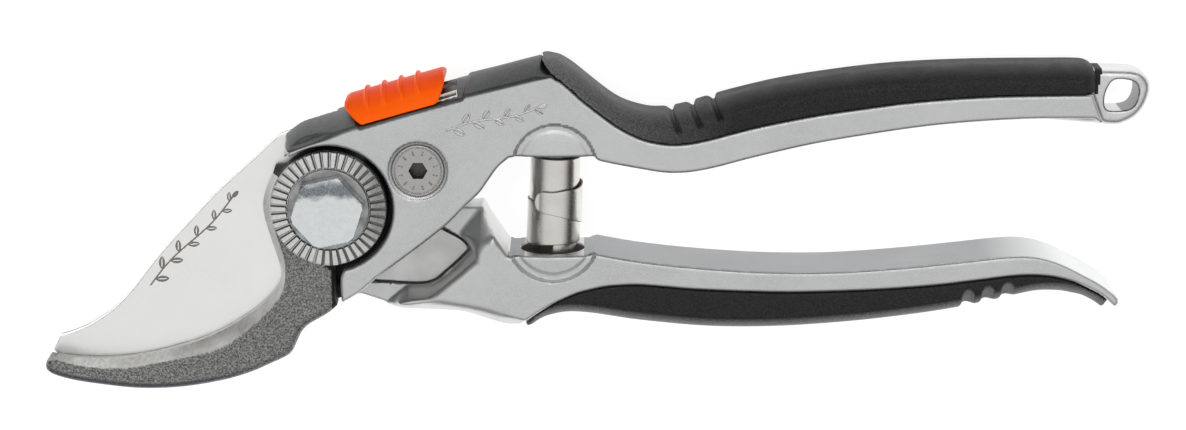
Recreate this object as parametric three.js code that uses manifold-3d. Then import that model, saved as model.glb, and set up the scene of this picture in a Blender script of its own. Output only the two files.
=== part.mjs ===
// Bypass pruner, lying flat. Millimetres, +Z up. The pivot axis is X = 0, Y = 0; Z = 0 is the
// plane of the back faces it rests on. The handles run along +X, the jaws along -X.
import * as THREE from 'three';
import Module from 'manifold-3d';

const wasm = await Module();
wasm.setup();

// ---------------------------------------------------------------- driving dimensions
const T = 18.0;            // thickness of both handles
const MID = T / 2;         // parting plane of the castings
const GAP = 0.3;           // clearance between touching pieces
const Z_ARM = 9.5;         // floor of the lower handle's arm, and the blade's front plane
const Z_BLADE0 = 6.6;      // blade's back plane
const Z_HOOK0 = 9.8;       // counter blade's back plane
const Z_HOOK1 = 15.2;      // counter blade's front plane
const Z_BOSS = 16.4;       // counter blade's boss
const Z_TAIL = 12.5;       // counter blade's tail plate under the casting
const Z_LAYER = 12.9;      // underside of the upper casting's front layer over the joint
const R_SWEEP = 17.3;      // clearance radius for the blade heel in the casting
const R_CUT = 12.75;       // round cut-out in the casting round the pivot
const R_BOSS = 11.55;      // counter blade's boss radius
const R_EYE = 13.3;        // lower handle's eye radius
const R_BOLT = 4.0;        // M8 pivot bolt
const R_BUSH = 5.0;        // bushing outside radius
const HEX_AF = 13.0;       // pivot bolt's head across flats
const LOCK_DIR = 16.0 * Math.PI / 180;   // direction of the ridge the lock slides along
const LOCK_TRAVEL = 4.0;
const SCREW = [17.8, 7.75];              // counter blade's fixing screw
const SPRING_A = [44.15, -12.1];         // spring axis, lower end
const SPRING_B = [44.95, 12.8];          // spring axis, upper end
const R_SPRING = 5.25;
const R_CUP = 6.3;

// ---------------------------------------------------------------- solid helpers
function solid(v, t) {
  const vp = new Float32Array(v.length * 3);
  v.forEach((p, i) => vp.set(p, i * 3));
  const m = new wasm.Manifold(new wasm.Mesh({
    numProp: 3, vertProperties: vp, triVerts: new Uint32Array(t.flat()),
  }));
  return m;
}
function area(p) {
  let a = 0;
  for (let i = 0; i < p.length; i++) {
    const q = p[(i + 1) % p.length];
    a += p[i][0] * q[1] - q[0] * p[i][1];
  }
  return a / 2;
}
function capTris(p) {
  const faces = THREE.ShapeUtils.triangulateShape(p.map((q) => new THREE.Vector2(q[0], q[1])), []);
  return faces.map((f) => (area(f.map((i) => p[i])) > 0 ? f : [f[0], f[2], f[1]]));
}
// levels: [[z, polygon], ...] from low to high, polygons with the same number of points
function loft(levels) {
  const flip = area(levels[0][1]) < 0;
  const L = levels.map(([z, p]) => [z, flip ? [...p].reverse() : p]);
  const n = L[0][1].length;
  const v = [];
  for (const [z, p] of L) {
    if (p.length !== n) throw new Error('loft counts ' + n + ' ' + p.length);
    for (const q of p) v.push([q[0], q[1], z]);
  }
  const t = [];
  for (let i = 0; i + 1 < L.length; i++) {
    for (let j = 0; j < n; j++) {
      const k = (j + 1) % n, a = i * n, b = a + n;
      t.push([a + j, a + k, b + k], [a + j, b + k, b + j]);
    }
  }
  for (const f of capTris(L[0][1])) t.push([f[0], f[2], f[1]]);
  const o = (L.length - 1) * n;
  for (const f of capTris(L[L.length - 1][1])) t.push([o + f[0], o + f[1], o + f[2]]);
  return solid(v, t);
}
const prism = (p, z0, z1) => loft([[z0, p], [z1, p]]);
const circle = (x, y, r, n = 32, a0 = 0) => Array.from({ length: n }, (_, i) => {
  const a = a0 + (2 * Math.PI * i) / n;
  return [x + r * Math.cos(a), y + r * Math.sin(a)];
});
const disc = (x, y, r, z0, z1, n = 32, a0 = 0) => prism(circle(x, y, r, n, a0), z0, z1);
const arc = (x, y, r, d0, d1, n) => Array.from({ length: n }, (_, i) => {
  const a = ((d0 + ((d1 - d0) * i) / (n - 1)) * Math.PI) / 180;
  return [x + r * Math.cos(a), y + r * Math.sin(a)];
});
// solid of revolution about Z from a profile that starts and ends on the axis, or a closed ring profile
function revolve(profile, n = 32) {
  const closed = profile[0][0] > 0;
  const v = [], idx = [];
  for (const [r, z] of profile) {
    if (r <= 0) { idx.push([v.length]); v.push([0, 0, z]); } else {
      idx.push(Array.from({ length: n }, (_, i) => v.length + i));
      for (let i = 0; i < n; i++) {
        const a = (2 * Math.PI * i) / n;
        v.push([r * Math.cos(a), r * Math.sin(a), z]);
      }
    }
  }
  const t = [];
  const m = profile.length;
  for (let s = 0; s < (closed ? m : m - 1); s++) {
    const A = idx[s], B = idx[(s + 1) % m];
    for (let i = 0; i < n; i++) {
      const k = (i + 1) % n;
      const a0 = A[i % A.length], a1 = A[k % A.length], b0 = B[i % B.length], b1 = B[k % B.length];
      if (A.length > 1) t.push([a0, a1, b1]);
      if (B.length > 1) t.push([a0, b1, b0]);
    }
  }
  let s = solid(v, t);
  if (s.volume() < 0) s = solid(v, t.map((f) => [f[0], f[2], f[1]]));
  return s;
}
const frame4 = (o, x, y, z) => [...x, 0, ...y, 0, ...z, 0, ...o, 1];
const place = (s, o, x, y, z) => s.transform(frame4(o, x, y, z));
// move each vertex of a polygon along its inward normal by the stated amount
function inset(p, amount) {
  const s = area(p) > 0 ? 1 : -1;
  const n = p.length;
  return p.map((q, i) => {
    const d = typeof amount === 'number' ? amount : amount[i];
    const a = p[(i + n - 1) % n], b = p[(i + 1) % n];
    const e = (u, w) => { const l = Math.hypot(w[0] - u[0], w[1] - u[1]) || 1; return [(w[0] - u[0]) / l, (w[1] - u[1]) / l]; };
    const e1 = e(a, q), e2 = e(q, b);
    let nx = -(e1[1] + e2[1]) * s, ny = (e1[0] + e2[0]) * s;
    const l = Math.hypot(nx, ny) || 1;
    nx /= l; ny /= l;
    const c = Math.max(0.6, nx * -e1[1] * s + ny * e1[0] * s);
    return [q[0] + (nx * d) / c, q[1] + (ny * d) / c];
  });
}
function resample(line, n) {
  const len = [0];
  for (let i = 1; i < line.length; i++) len.push(len[i - 1] + Math.hypot(line[i][0] - line[i - 1][0], line[i][1] - line[i - 1][1]));
  const out = [];
  let k = 1;
  for (let i = 0; i < n; i++) {
    const s = (len[len.length - 1] * i) / (n - 1);
    while (k < line.length - 1 && len[k] < s) k++;
    const f = (s - len[k - 1]) / (len[k] - len[k - 1]);
    out.push([line[k - 1][0] + f * (line[k][0] - line[k - 1][0]), line[k - 1][1] + f * (line[k][1] - line[k - 1][1])]);
  }
  return out;
}
const lerp = (a, b, f) => a.map((p, i) => [p[0] + (b[i][0] - p[0]) * f, p[1] + (b[i][1] - p[1]) * f]);
// scene graph: the two arms and, inside the upper one, the ridge the lock slides along
const group = new THREE.Group();
group.name = 'bypass_pruner';
const upperArm = new THREE.Group(), lowerArm = new THREE.Group(), ridgeGroup = new THREE.Group(), lockGroup = new THREE.Group();
group.add(upperArm, lowerArm);
upperArm.add(ridgeGroup);
ridgeGroup.add(lockGroup);
ridgeGroup.position.set(3.2, 18.95, 0);
ridgeGroup.rotation.z = LOCK_DIR;
function node(name, m, colour, roughness, metalness, parent = upperArm, at = null) {
  const parts = m.decompose();
  if (parts.length !== 1) {
    const keep = parts.filter((q) => q.volume() > 0.5);
    if (keep.length !== 1) throw new Error(name + ' has ' + parts.length + ' bodies: ' + parts.map((q) => q.volume().toFixed(2)).join(' '));
    m = keep[0];
  }
  m = m.asOriginal().simplify(0.012);
  const g = m.getMesh();
  const geo = new THREE.BufferGeometry();
  geo.setAttribute('position', new THREE.BufferAttribute(new Float32Array(g.vertProperties), 3));
  geo.setIndex(new THREE.BufferAttribute(new Uint32Array(g.triVerts), 1));
  geo.computeVertexNormals();
  const mesh = new THREE.Mesh(geo, new THREE.MeshStandardMaterial({ color: colour, roughness, metalness }));
  mesh.name = name;
  if (at) mesh.position.set(at[0], at[1], at[2]);
  parent.add(mesh);
  return mesh;
}

// ---------------------------------------------------------------- outlines, X and Y
// upper handle: ridge at the parting plane and the matching front edge
const U_RIDGE = [[-8.85, 13.4], [-5.6, 15.9], [-1.9, 17.2], [3.2, 18.95], [6.3, 19.9], [13.6, 21.95], [21.0, 23.9], [27.2, 25.5], [36.0, 28.1], [42.3, 29.75]];
const U_CREASE = [[-7.9, 11.4], [-4.7, 12.66], [-1.55, 13.83], [3.9, 15.89], [6.96, 16.87], [14.47, 19.17], [21.86, 21.27], [27.95, 22.94], [36.89, 25.15], [43.9, 26.9]];
// line where the upper grip meets the casting, then the outside of the grip, left to right
const U_BOUND = [[44.2, 27.0], [44.9, 26.4], [47.5, 24.3], [50.0, 22.0], [53.5, 19.2], [56.9, 16.7], [60.3, 14.8], [63.3, 13.7], [67.1, 13.05], [70.9, 13.2], [75.2, 14.05], [79.4, 15.2], [86.2, 16.9], [97.2, 19.05], [105.6, 20.3], [113.8, 21.4], [122.6, 22.2], [131.6, 22.7], [141.0, 22.9], [149.6, 22.95]];
const U_GRIP = [[42.4, 30.0], [44.4, 29.9], [46.0, 29.5], [48.5, 28.0], [52.1, 25.1], [55.7, 22.25], [58.4, 20.6], [62.0, 19.4], [65.0, 19.0], [69.4, 19.5], [74.8, 21.1], [80.1, 22.6], [88.4, 24.6], [97.7, 26.2], [110.8, 27.8], [125.8, 28.6], [142.5, 28.8], [149.0, 28.7], [150.0, 28.0]];
// inner side of the upper handle, from the loop back to the spring seat
const U_UNDER = [[152.6, 17.0], [150.8, 18.2], [140.0, 18.2], [132.2, 17.9], [123.9, 17.3], [116.1, 16.45], [104.0, 14.6], [94.6, 12.9], [83.2, 10.2], [76.9, 8.5], [73.4, 7.75], [70.4, 7.35], [67.3, 7.3], [64.5, 7.6], [53.6, 9.7], [52.6, 10.4]];
const U_DIAG = [[35.8, 10.4], [33.6, 8.45], [31.8, 5.95], [30.0, 3.4], [27.25, 0.75], [24.5, -2.1], [22.8, -3.7], [16.8, -8.45], [9.8, -13.7], [5.85, -16.75], [2.3, -18.6], [2.2, -14.2], [2.8, -12.5]];
const U_CUT = arc(0, 0, R_CUT, -72, 126, 24);
const LOOP_OUT = [[149.5, 23.2], [149.5, 18.3], [151.6, 17.0], [155.8, 16.2], [157.5, 16.6], [159.5, 17.65], [160.9, 19.1], [161.9, 21.0], [162.4, 23.3], [162.1, 25.2], [161.3, 26.5], [160.1, 27.5], [158.7, 27.9], [156.9, 28.1], [154.2, 28.2], [151.7, 28.4], [151.4, 23.4]];
const LOOP_IN = [[153.3, 20.2], [153.9, 19.1], [155.5, 18.9], [157.8, 19.1], [159.0, 19.7], [159.75, 21.1], [160.0, 22.9], [159.6, 24.3], [158.4, 25.0], [156.6, 25.3], [155.2, 25.2], [154.3, 24.5], [153.4, 22.3]];
// lower handle: the raised body at the parting plane (foot) and at the front face
const L_FOOT = [[11.0, -21.1], [15.1, -17.6], [19.8, -17.3], [22.9, -15.5], [25.7, -12.9], [28.2, -9.9], [25.9, -6.8], [30.2, -1.4]];
const L_TOP = [[13.4, -19.5], [15.8, -18.9], [19.6, -18.2], [22.8, -15.7], [25.8, -13.3], [28.8, -10.8], [29.3, -8.7], [32.6, -5.4]];
const L_INNER = [[35.5, -9.6], [51.4, -9.5], [52.4, -8.95], [60.0, -10.35], [66.5, -11.2], [72.9, -11.85], [79.4, -12.35], [85.8, -12.7], [93.4, -12.85], [100.2, -12.75], [108.1, -12.3], [117.4, -11.5], [126.8, -10.5], [133.0, -9.8], [137.4, -9.55], [140.8, -9.85], [145.2, -11.15], [150.3, -13.8], [154.9, -16.8], [157.6, -19.2], [158.9, -21.3]];
const L_BOUND = [[38.8, -23.0], [40.2, -22.05], [42.0, -20.8], [44.4, -19.4], [46.95, -18.2], [49.3, -17.2], [51.9, -16.5], [54.1, -16.0], [56.5, -15.7], [61.2, -15.5], [66.6, -15.9], [72.6, -16.4], [81.7, -16.8], [90.6, -17.0], [100.4, -16.8], [109.6, -16.4], [120.0, -15.6], [129.1, -14.5], [135.0, -13.75], [139.0, -13.5], [143.4, -13.8], [147.0, -14.6], [149.4, -15.5], [153.6, -17.7], [156.9, -20.6]];
const L_GRIP = [[38.4, -25.6], [40.0, -25.3], [41.9, -24.05], [43.8, -23.2], [47.3, -22.55], [51.9, -22.8], [61.2, -24.2], [76.3, -25.6], [90.7, -25.85], [104.0, -25.0], [117.7, -23.35], [125.3, -22.1], [132.3, -20.6], [137.3, -19.4], [141.1, -18.65], [145.3, -18.65], [147.8, -19.1], [149.5, -19.7], [151.9, -20.9], [154.6, -22.9], [155.6, -22.9], [156.6, -21.9]];
const L_BELLY = [[13.9, -22.0], [17.1, -22.1], [22.5, -22.4], [26.5, -22.9], [33.4, -25.1], [35.4, -25.5], [38.1, -25.4]];
const L_BELLY_TOP = [[15.5, -19.6], [19.0, -19.2], [24.6, -19.9], [30.0, -20.9], [33.4, -21.8], [35.6, -22.1], [38.6, -22.9]];
// arm that carries the eye and the blade's tang
const ARM = [...arc(0, 0, R_EYE, 2, 246, 31), [1.6, -16.8], [5.2, -19.2], [11.0, -21.1], [13.9, -22.0], [30.0, -22.5], [33.5, -12.0], [30.2, -1.4], [17.0, -1.3]];
// counter blade: cutting side from the tip to the pivot, and the outer side back to the tip
const HOOK_IN = [[-56.8, -31.2], [-55.9, -31.45], [-51.2, -32.0], [-46.1, -32.15], [-40.9, -31.8], [-35.7, -30.9], [-31.5, -29.8], [-27.0, -28.4], [-22.2, -26.3], [-17.5, -23.45], [-14.6, -21.3], [-11.9, -18.5], [-10.5, -16.2], [-10.15, -14.1], [-10.8, -11.3], [-12.1, -7.1], [-13.15, -3.4], [-13.5, -0.5], [-13.2, 1.5], [-12.5, 3.6], [-11.5, 5.6], [-10.9, 7.5]];
const HOOK_BOSS = arc(0, 0, R_BOSS, 139, -84, 22);
const HOOK_OUT = [[0.8, -14.6], [0.75, -18.3], [1.2, -20.5], [-0.7, -22.15], [-4.3, -24.3], [-5.9, -25.75], [-7.0, -27.9], [-7.9, -29.8], [-9.0, -30.95], [-12.6, -32.7], [-16.2, -34.3], [-21.7, -36.0], [-30.2, -37.45], [-38.9, -37.75], [-48.4, -36.7], [-52.8, -35.9], [-56.3, -34.8], [-57.5, -33.9], [-57.7, -33.0], [-57.35, -31.9]];
const HOOK_TAIL = [[6.0, 8.6], [13.4, 13.6], ...arc(SCREW[0], SCREW[1], 6.2, 110, -45, 12), [12.5, -3.2], [9.0, -6.5]];
// cutting blade: spine from the tip, heel, tang, then the edge hidden behind the counter blade
const BLADE_SPINE = [[-56.7, -30.9], [-55.3, -28.2], [-53.05, -27.5], [-50.8, -26.6], [-48.7, -25.55], [-45.6, -23.5], [-43.1, -21.4], [-40.4, -18.5], [-34.5, -11.0], [-27.0, -2.8], [-22.6, 1.85], [-14.4, 9.3], [-10.4, 13.0], [-8.8, 13.7]];
const BLADE_HEEL = [[-4.6, 14.9], [0.2, 14.2], [5.2, 12.4], [9.5, 9.4], [12.3, 5.4], [13.4, 1.5], [18.5, -3.6], [22.2, -6.0], [26.0, -8.2], [27.0, -9.2], [27.3, -10.0], [24.9, -12.4], [22.1, -14.9], [20.8, -16.0], [19.4, -16.6], [17.4, -16.85], [15.1, -16.8], [8.9, -16.4], [1.0, -15.6]];
const BLADE_EDGE = [[-6.6, -16.6], [-9.3, -20.4], [-13.2, -24.0], [-17.0, -26.6], [-22.0, -29.2], [-27.0, -31.2], [-31.5, -32.4], [-36.0, -33.3], [-41.0, -34.0], [-46.0, -34.2], [-51.0, -33.9], [-55.0, -32.9]];

// ---------------------------------------------------------------- upper handle
const tongueU = (() => {
  const b = resample(U_BOUND.slice(2), 30), o = resample(U_GRIP.slice(3), 30);
  const out = lerp(b, o, 0.52), inn = lerp(b, o, -0.25);
  out[29] = [147.6, 25.6];
  return [...inn.slice(1, 29), ...out.slice(1, 30).reverse()];
})();
const upperOutline = (top) => [...top, ...U_BOUND.slice(0, -1), [150.4, 23.0], ...U_UNDER, ...U_DIAG, ...U_CUT];
const uMid = upperOutline(U_RIDGE), uFace = upperOutline(U_CREASE);
let upper = loft([[0, uFace], [4.0, lerp(uFace, uMid, 0.7)], [MID, uMid], [14.0, lerp(uFace, uMid, 0.7)], [T, uFace]]);
upper = upper.add(prism(tongueU, 3.6, T - 3.6));
upper = upper.add(prism(LOOP_OUT, 4.6, 13.4)).subtract(prism(LOOP_IN, 4.0, 14.0));
// room for the blade, the eye and the arm under the front layer
upper = upper.subtract(disc(0, 0, R_SWEEP, -1, Z_HOOK0 - 0.1, 48));
upper = upper.subtract(prism([[-30, 0], [-30, 30], [1.5, 30], [1.5, 15], [10, 5], [15, -0.4], [24.0, 0.0], [28.5, 1.3], [31.2, 5.1], [45, 5.1], [45, -40], [-30, -40]], -1, Z_HOOK0 - 0.1));
// room for the counter blade's boss and tail plate
const hookRoom = prism([[-30, -40], [-30, 30], [1.5, 30], [1.5, 13], [5, 12.6], [13.2, 14.2], ...arc(SCREW[0], SCREW[1], 6.6, 112, -46, 12), [19.0, -8.0], [19.0, -40]], Z_HOOK0 - 0.2, Z_LAYER);
upper = upper.subtract(hookRoom);
// countersunk seat and thread for the counter blade's screw
upper = upper.subtract(place(revolve([[0, 2.0], [2.75, 2.0], [2.75, 14.55], [5.35, 17.15], [6.1, 17.5], [6.1, 19], [0, 19]], 32), [SCREW[0], SCREW[1], 0], [1, 0, 0], [0, 1, 0], [0, 0, 1]));
// lock track along the ridge: lowered ridge, centre slot and the two clip slots
const tx = Math.cos(LOCK_DIR), ty = Math.sin(LOCK_DIR);
// ridge frame: s along the ridge, h up from it, z across; s = 0 at X 3.2, Y 18.95
const ridge = (s) => place(s, [3.2, 18.95, 0], [tx, ty, 0], [-ty, tx, 0], [0, 0, 1]);
const boxS = (s0, s1, h0, h1, z0, z1) => prism([[s0, h0], [s1, h0], [s1, h1], [s0, h1]], z0, z1);
upper = upper.subtract(ridge(boxS(2.2, 25.6, -1.4, 3, 4.9, 13.1)));
upper = upper.subtract(ridge(boxS(4.0, 22.6, -4.1, 0, 7.0, 11.0)));
upper = upper.subtract(ridge(boxS(5.6, 18.6, -9.4, -3, 7.4, 10.6)));
for (const z of [14.9, 0]) upper = upper.subtract(ridge(boxS(3.4, 23.4, -1.75, 2, z, z + 3.1)));
// spring seat: cup, and the groove round its dome on the faces
const along = (p, q) => { const l = Math.hypot(q[0] - p[0], q[1] - p[1]); return [(q[0] - p[0]) / l, (q[1] - p[1]) / l, 0]; };
const sa = along(SPRING_A, SPRING_B);
const springPlace = (s) => place(s, [SPRING_A[0], SPRING_A[1], MID], [sa[1], -sa[0], 0], [0, 0, -1], sa);
const springLen = Math.hypot(SPRING_B[0] - SPRING_A[0], SPRING_B[1] - SPRING_A[1]);
upper = upper.subtract(springPlace(revolve([[0, springLen - 5], [R_CUP, springLen - 5], [R_CUP, springLen + 0.6], [0, springLen + 0.6]], 28)));
const domeU = (z0, z1) => prism([...arc(44.2, 10.0, 7.7, 0, 180, 13), ...arc(44.2, 10.0, 6.7, 180, 0, 13)], z0, z1);
upper = upper.subtract(domeU(16.9, 19)).subtract(domeU(-1, 1.1));
node('upper_handle', upper, 0xb3b6b6, 0.42, 0.85);

// ---------------------------------------------------------------- upper grip
{
  const n = 34;
  const b = resample(U_BOUND, n).map((q) => [q[0], q[1]]);
  const o = resample(U_GRIP, n);
  const bb = b.map((q, i) => { const d = [o[i][0] - q[0], o[i][1] - q[1]]; const l = Math.hypot(...d); return [q[0] + (d[0] / l) * GAP, q[1] + (d[1] / l) * GAP]; });
  const ring = (f) => [...bb, ...lerp(bb, o, f).reverse()];
  let g = loft([[0.2, ring(0.45)], [2.0, ring(0.78)], [5.0, ring(0.96)], [MID, ring(1)], [13.0, ring(0.96)], [16.0, ring(0.78)], [T - 0.2, ring(0.45)]]);
  const room = inset(tongueU, -GAP);
  g = g.subtract(prism(room, 3.3, T - 3.3));
  for (const [x0, y0, x1, y1] of [[67.0, 20.3, 69.4, 15.9], [71.2, 21.2, 73.4, 17.0], [75.4, 22.3, 77.4, 18.6]]) {
    const dx = x1 - x0, dy = y1 - y0, l = Math.hypot(dx, dy), px = (-dy / l) * 0.75, py = (dx / l) * 0.75;
    const qx = x0 + dx * 0.3, qy = y0 + dy * 0.3;
    g = g.subtract(prism([[x0 + px, y0 + py], [x0 - px, y0 - py], [qx, qy]], -1, 19));
  }
  // clearance where the grip starts over the casting's ridge
  g = g.subtract(loft([[-1, inset(uFace, -GAP)], [0, inset(uFace, -GAP)], [4.0, inset(lerp(uFace, uMid, 0.7), -GAP)], [MID, inset(uMid, -GAP)], [14.0, inset(lerp(uFace, uMid, 0.7), -GAP)], [T, inset(uFace, -GAP)], [19, inset(uFace, -GAP)]]));
  g = g.subtract(prism([[150.9, 10], [170, 10], [170, 40], [150.9, 40]], -1, 20));
  node('upper_grip', g, 0x35363a, 0.75, 0.0);
}

// ---------------------------------------------------------------- counter blade
{
  const k = HOOK_IN.length;
  const mid = [...HOOK_IN, ...HOOK_BOSS, ...HOOK_OUT];
  const inner = mid.map((_, i) => (i === 0 ? 0.3 : i === 1 ? 0.6 : i < k - 8 ? 1.5 : i < k ? 0.9 : 0));
  const outer = mid.map((_, i) => (i >= mid.length - 5 ? 0.35 : i >= k + HOOK_BOSS.length + 2 ? 1 : 0));
  const lev = (a, b) => inset(mid, mid.map((_, i) => inner[i] * a + outer[i] * b));
  let h = loft([[Z_HOOK0, lev(0, 0.8)], [11.6, lev(0.33, 0)], [13.4, lev(0.66, 0.35)], [Z_HOOK1, lev(1, 1.5)]]);
  h = h.add(disc(0, 0, R_BOSS, 11.0, Z_BOSS, 40));
  h = h.add(prism([[0, 0], ...HOOK_TAIL, [0, -8]], Z_HOOK0, Z_TAIL));
  h = h.subtract(disc(0, 0, R_BOLT + 0.15, 5, 20, 32));
  h = h.subtract(disc(SCREW[0], SCREW[1], 2.75, 5, 20, 24));
  node('counter_blade', h, 0x77787a, 0.5, 0.8);
}

// ---------------------------------------------------------------- cutting blade
{
  const s = BLADE_SPINE.length + BLADE_HEEL.length;
  const full = [...BLADE_SPINE, ...BLADE_HEEL, ...BLADE_EDGE];
  const bev = full.map((_, i) => (i < s || i === full.length - 1 ? 0 : i === s ? 1.5 : 4.4));
  bev[0] = 0; bev[full.length - 1] = 1.2;
  let b = loft([[Z_BLADE0, inset(full, bev)], [Z_ARM - 0.4, inset(full, bev.map((q) => q * 0.12))], [Z_ARM, full]]);
  b = b.subtract(disc(0, 0, R_BUSH + 0.15, 5, 12, 32));
  for (const p of [[18.2, -12.2], [13.4, -13.6]]) b = b.subtract(disc(p[0], p[1], 1.6, 5, Z_ARM - 1.0, 16));
  node('cutting_blade', b, 0xd8d9d4, 0.28, 0.9, lowerArm);
}

// ---------------------------------------------------------------- lower handle
const tongueL = (() => {
  const b = resample(L_BOUND.slice(2), 30), o = resample(L_GRIP.slice(3), 30);
  const out = lerp(b, o, 0.52), inn = lerp(b, o, -0.22);
  return [...inn.slice(1, 28), ...out.slice(1, 28).reverse()];
})();
const lowerOutline = (left, belly) => [...belly, ...L_BOUND, [158.4, -21.9], ...[...L_INNER].reverse(), ...[...left].reverse()];
const lMid = lowerOutline(L_FOOT, L_BELLY), lFace = lowerOutline(L_TOP, L_BELLY_TOP);
let lower = loft([[0, lMid.map((p, i) => (i < L_BELLY.length ? [lFace[i][0], lFace[i][1]] : p))], [4.0, lMid.map((p, i) => (i < L_BELLY.length ? [lFace[i][0] * 0.3 + p[0] * 0.7, lFace[i][1] * 0.3 + p[1] * 0.7] : p))], [MID, lMid], [Z_ARM, lMid], [14.0, lerp(lMid, lFace, 0.42)], [T, lFace]]);
lower = lower.add(prism(tongueL, 3.6, T - 3.6));
lower = lower.add(prism(ARM, 1.0, Z_ARM));
// eye: blade bears on its front face, nut and spring washer sit in its back
lower = lower.subtract(disc(0, 0, R_SWEEP, 6.3, 12, 48));
lower = lower.subtract(disc(0, 0, R_BUSH + 0.15, -1, 12, 32));
lower = lower.subtract(disc(0, 0, 8.1, -1, 4.3, 32));
// pocket for the tang
const bladeRoom = inset([...BLADE_SPINE, ...BLADE_HEEL, ...BLADE_EDGE], -0.35);
lower = lower.subtract(prism(bladeRoom, Z_BLADE0 - 0.1, Z_ARM + 0.4));
for (const p of [[18.2, -12.2], [13.4, -13.6]]) lower = lower.subtract(disc(p[0], p[1], 1.6, 3.6, 12, 16));
lower = lower.subtract(springPlace(revolve([[0, -0.6], [R_CUP, -0.6], [R_CUP, 6], [0, 6]], 28)));
const domeL = (z0, z1) => prism([...arc(43.6, -8.6, 7.9, -3, -177, 13), ...arc(43.6, -8.6, 6.9, -177, -3, 13)], z0, z1);
lower = lower.subtract(domeL(16.9, 19)).subtract(domeL(-1, 1.1));
node('lower_handle', lower, 0xb3b6b6, 0.42, 0.85, lowerArm);

// ---------------------------------------------------------------- lower grip
{
  const n = 34;
  const b = resample(L_BOUND, n), o = resample(L_GRIP, n);
  const bb = b.map((q, i) => { const d = [o[i][0] - q[0], o[i][1] - q[1]]; const l = Math.hypot(...d); return [q[0] + (d[0] / l) * GAP, q[1] + (d[1] / l) * GAP]; });
  const ring = (f) => [...lerp(bb, o, f), ...[...bb].reverse()];
  let g = loft([[0.2, ring(0.45)], [2.0, ring(0.78)], [5.0, ring(0.96)], [MID, ring(1)], [13.0, ring(0.96)], [16.0, ring(0.78)], [T - 0.2, ring(0.45)]]);
  g = g.subtract(prism(inset(tongueL, -GAP), 3.3, T - 3.3));
  for (const [x, y] of [[127.5, -22.0], [130.9, -21.3], [134.2, -20.5]]) g = g.subtract(disc(x, y, 0.9, -1, 19, 10));
  g = g.subtract(loft([[-1, inset(lFace, -GAP)], [0.0, inset(lFace, -GAP)], [4.0, inset(lerp(lFace, lMid, 0.7), -GAP)], [MID, inset(lMid, -GAP)], [14.0, inset(lerp(lFace, lMid, 0.7), -GAP)], [T, inset(lFace, -GAP)], [19, inset(lFace, -GAP)]]));
  node('lower_grip', g, 0x35363a, 0.75, 0.0, lowerArm);
}

// ---------------------------------------------------------------- pivot hardware
{
  const rHex = HEX_AF / 2 / Math.cos(Math.PI / 6);
  const hex = (r, d0) => circle(0, 0, r, 6, (d0 * Math.PI) / 180);
  let bolt = prism(hex(rHex, 14), 18.3, 21.7);
  const cham = revolve([[0, 17], [rHex + 1, 17], [rHex + 1, 21.0], [HEX_AF / 2 - 0.1, 21.75], [0, 21.75]], 40);
  bolt = bolt.intersect(cham).add(disc(0, 0, R_BOLT, 0, 19, 32));
  node('pivot_bolt', bolt, 0xcfd6d9, 0.3, 0.9);
  node('head_washer', revolve([[R_BOLT + 0.2, 17.5], [8.1, 17.5], [8.1, 18.1], [R_BOLT + 0.2, 18.1]], 36), 0xa9adae, 0.35, 0.9);
  // toothed washer: radial teeth on its front
  const nT = 40, v = [], t = [];
  const ri = 8.4, ro = 11.5;
  for (let i = 0; i < nT * 2; i++) {
    const a = (Math.PI * i) / nT, c = Math.cos(a), s = Math.sin(a), hz = i % 2 ? 17.15 : 17.75;
    v.push([ri * c, ri * s, 16.6], [ro * c, ro * s, 16.6], [ro * c, ro * s, hz - 0.15], [ri * c, ri * s, hz]);
  }
  for (let i = 0; i < nT * 2; i++) {
    const a = i * 4, b = ((i + 1) % (nT * 2)) * 4;
    for (let k = 0; k < 4; k++) {
      const m = (k + 1) % 4;
      t.push([a + k, b + m, a + m], [a + k, b + k, b + m]);
    }
  }
  let ring = solid(v, t);
  if (ring.volume() < 0) ring = solid(v, t.map((f) => [f[0], f[2], f[1]]));
  ring = ring.add(revolve([[R_BOLT + 0.2, 16.6], [9.5, 16.6], [9.5, 17.1], [8.4, 17.2], [R_BOLT + 0.2, 17.2]], 40));
  node('toothed_washer', ring, 0xc4c6c4, 0.35, 0.9);
  node('pivot_bushing', revolve([[R_BOLT + 0.15, 4.5], [R_BUSH, 4.5], [R_BUSH, 9.4], [R_BOLT + 0.15, 9.4]], 32), 0xb08d57, 0.4, 0.9, lowerArm);
  node('disc_spring', revolve([[R_BOLT + 0.2, 3.5], [7.4, 3.3], [7.4, 3.75], [R_BOLT + 0.2, 4.1]], 32), 0x8d9092, 0.4, 0.9);
  let nut = prism(hex(rHex, 14), 0, 3.1).subtract(disc(0, 0, R_BOLT + 0.1, -1, 5, 32));
  node('pivot_nut', nut, 0xb9bec0, 0.35, 0.9);
  // fixing screw of the counter blade, with its hexagon socket
  let screw = revolve([[0, 3.4], [2.5, 3.4], [2.5, 14.75], [5.1, 17.25], [5.1, 17.6], [0, 17.6]], 32);
  screw = screw.subtract(prism(circle(0, 0, 1.8, 6, 0.1), 15.0, 18));
  node('counter_blade_screw', screw, 0xaaa9a4, 0.32, 0.9, upperArm, [SCREW[0], SCREW[1], 0]);
  for (const [name, p] of [['tang_dowel_a', [18.2, -12.2]], ['tang_dowel_b', [13.4, -13.6]]]) node(name, disc(0, 0, 1.5, 3.8, 8.2, 16), 0x9a9c9d, 0.35, 0.9, lowerArm, [p[0], p[1], 0]);
}

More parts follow.
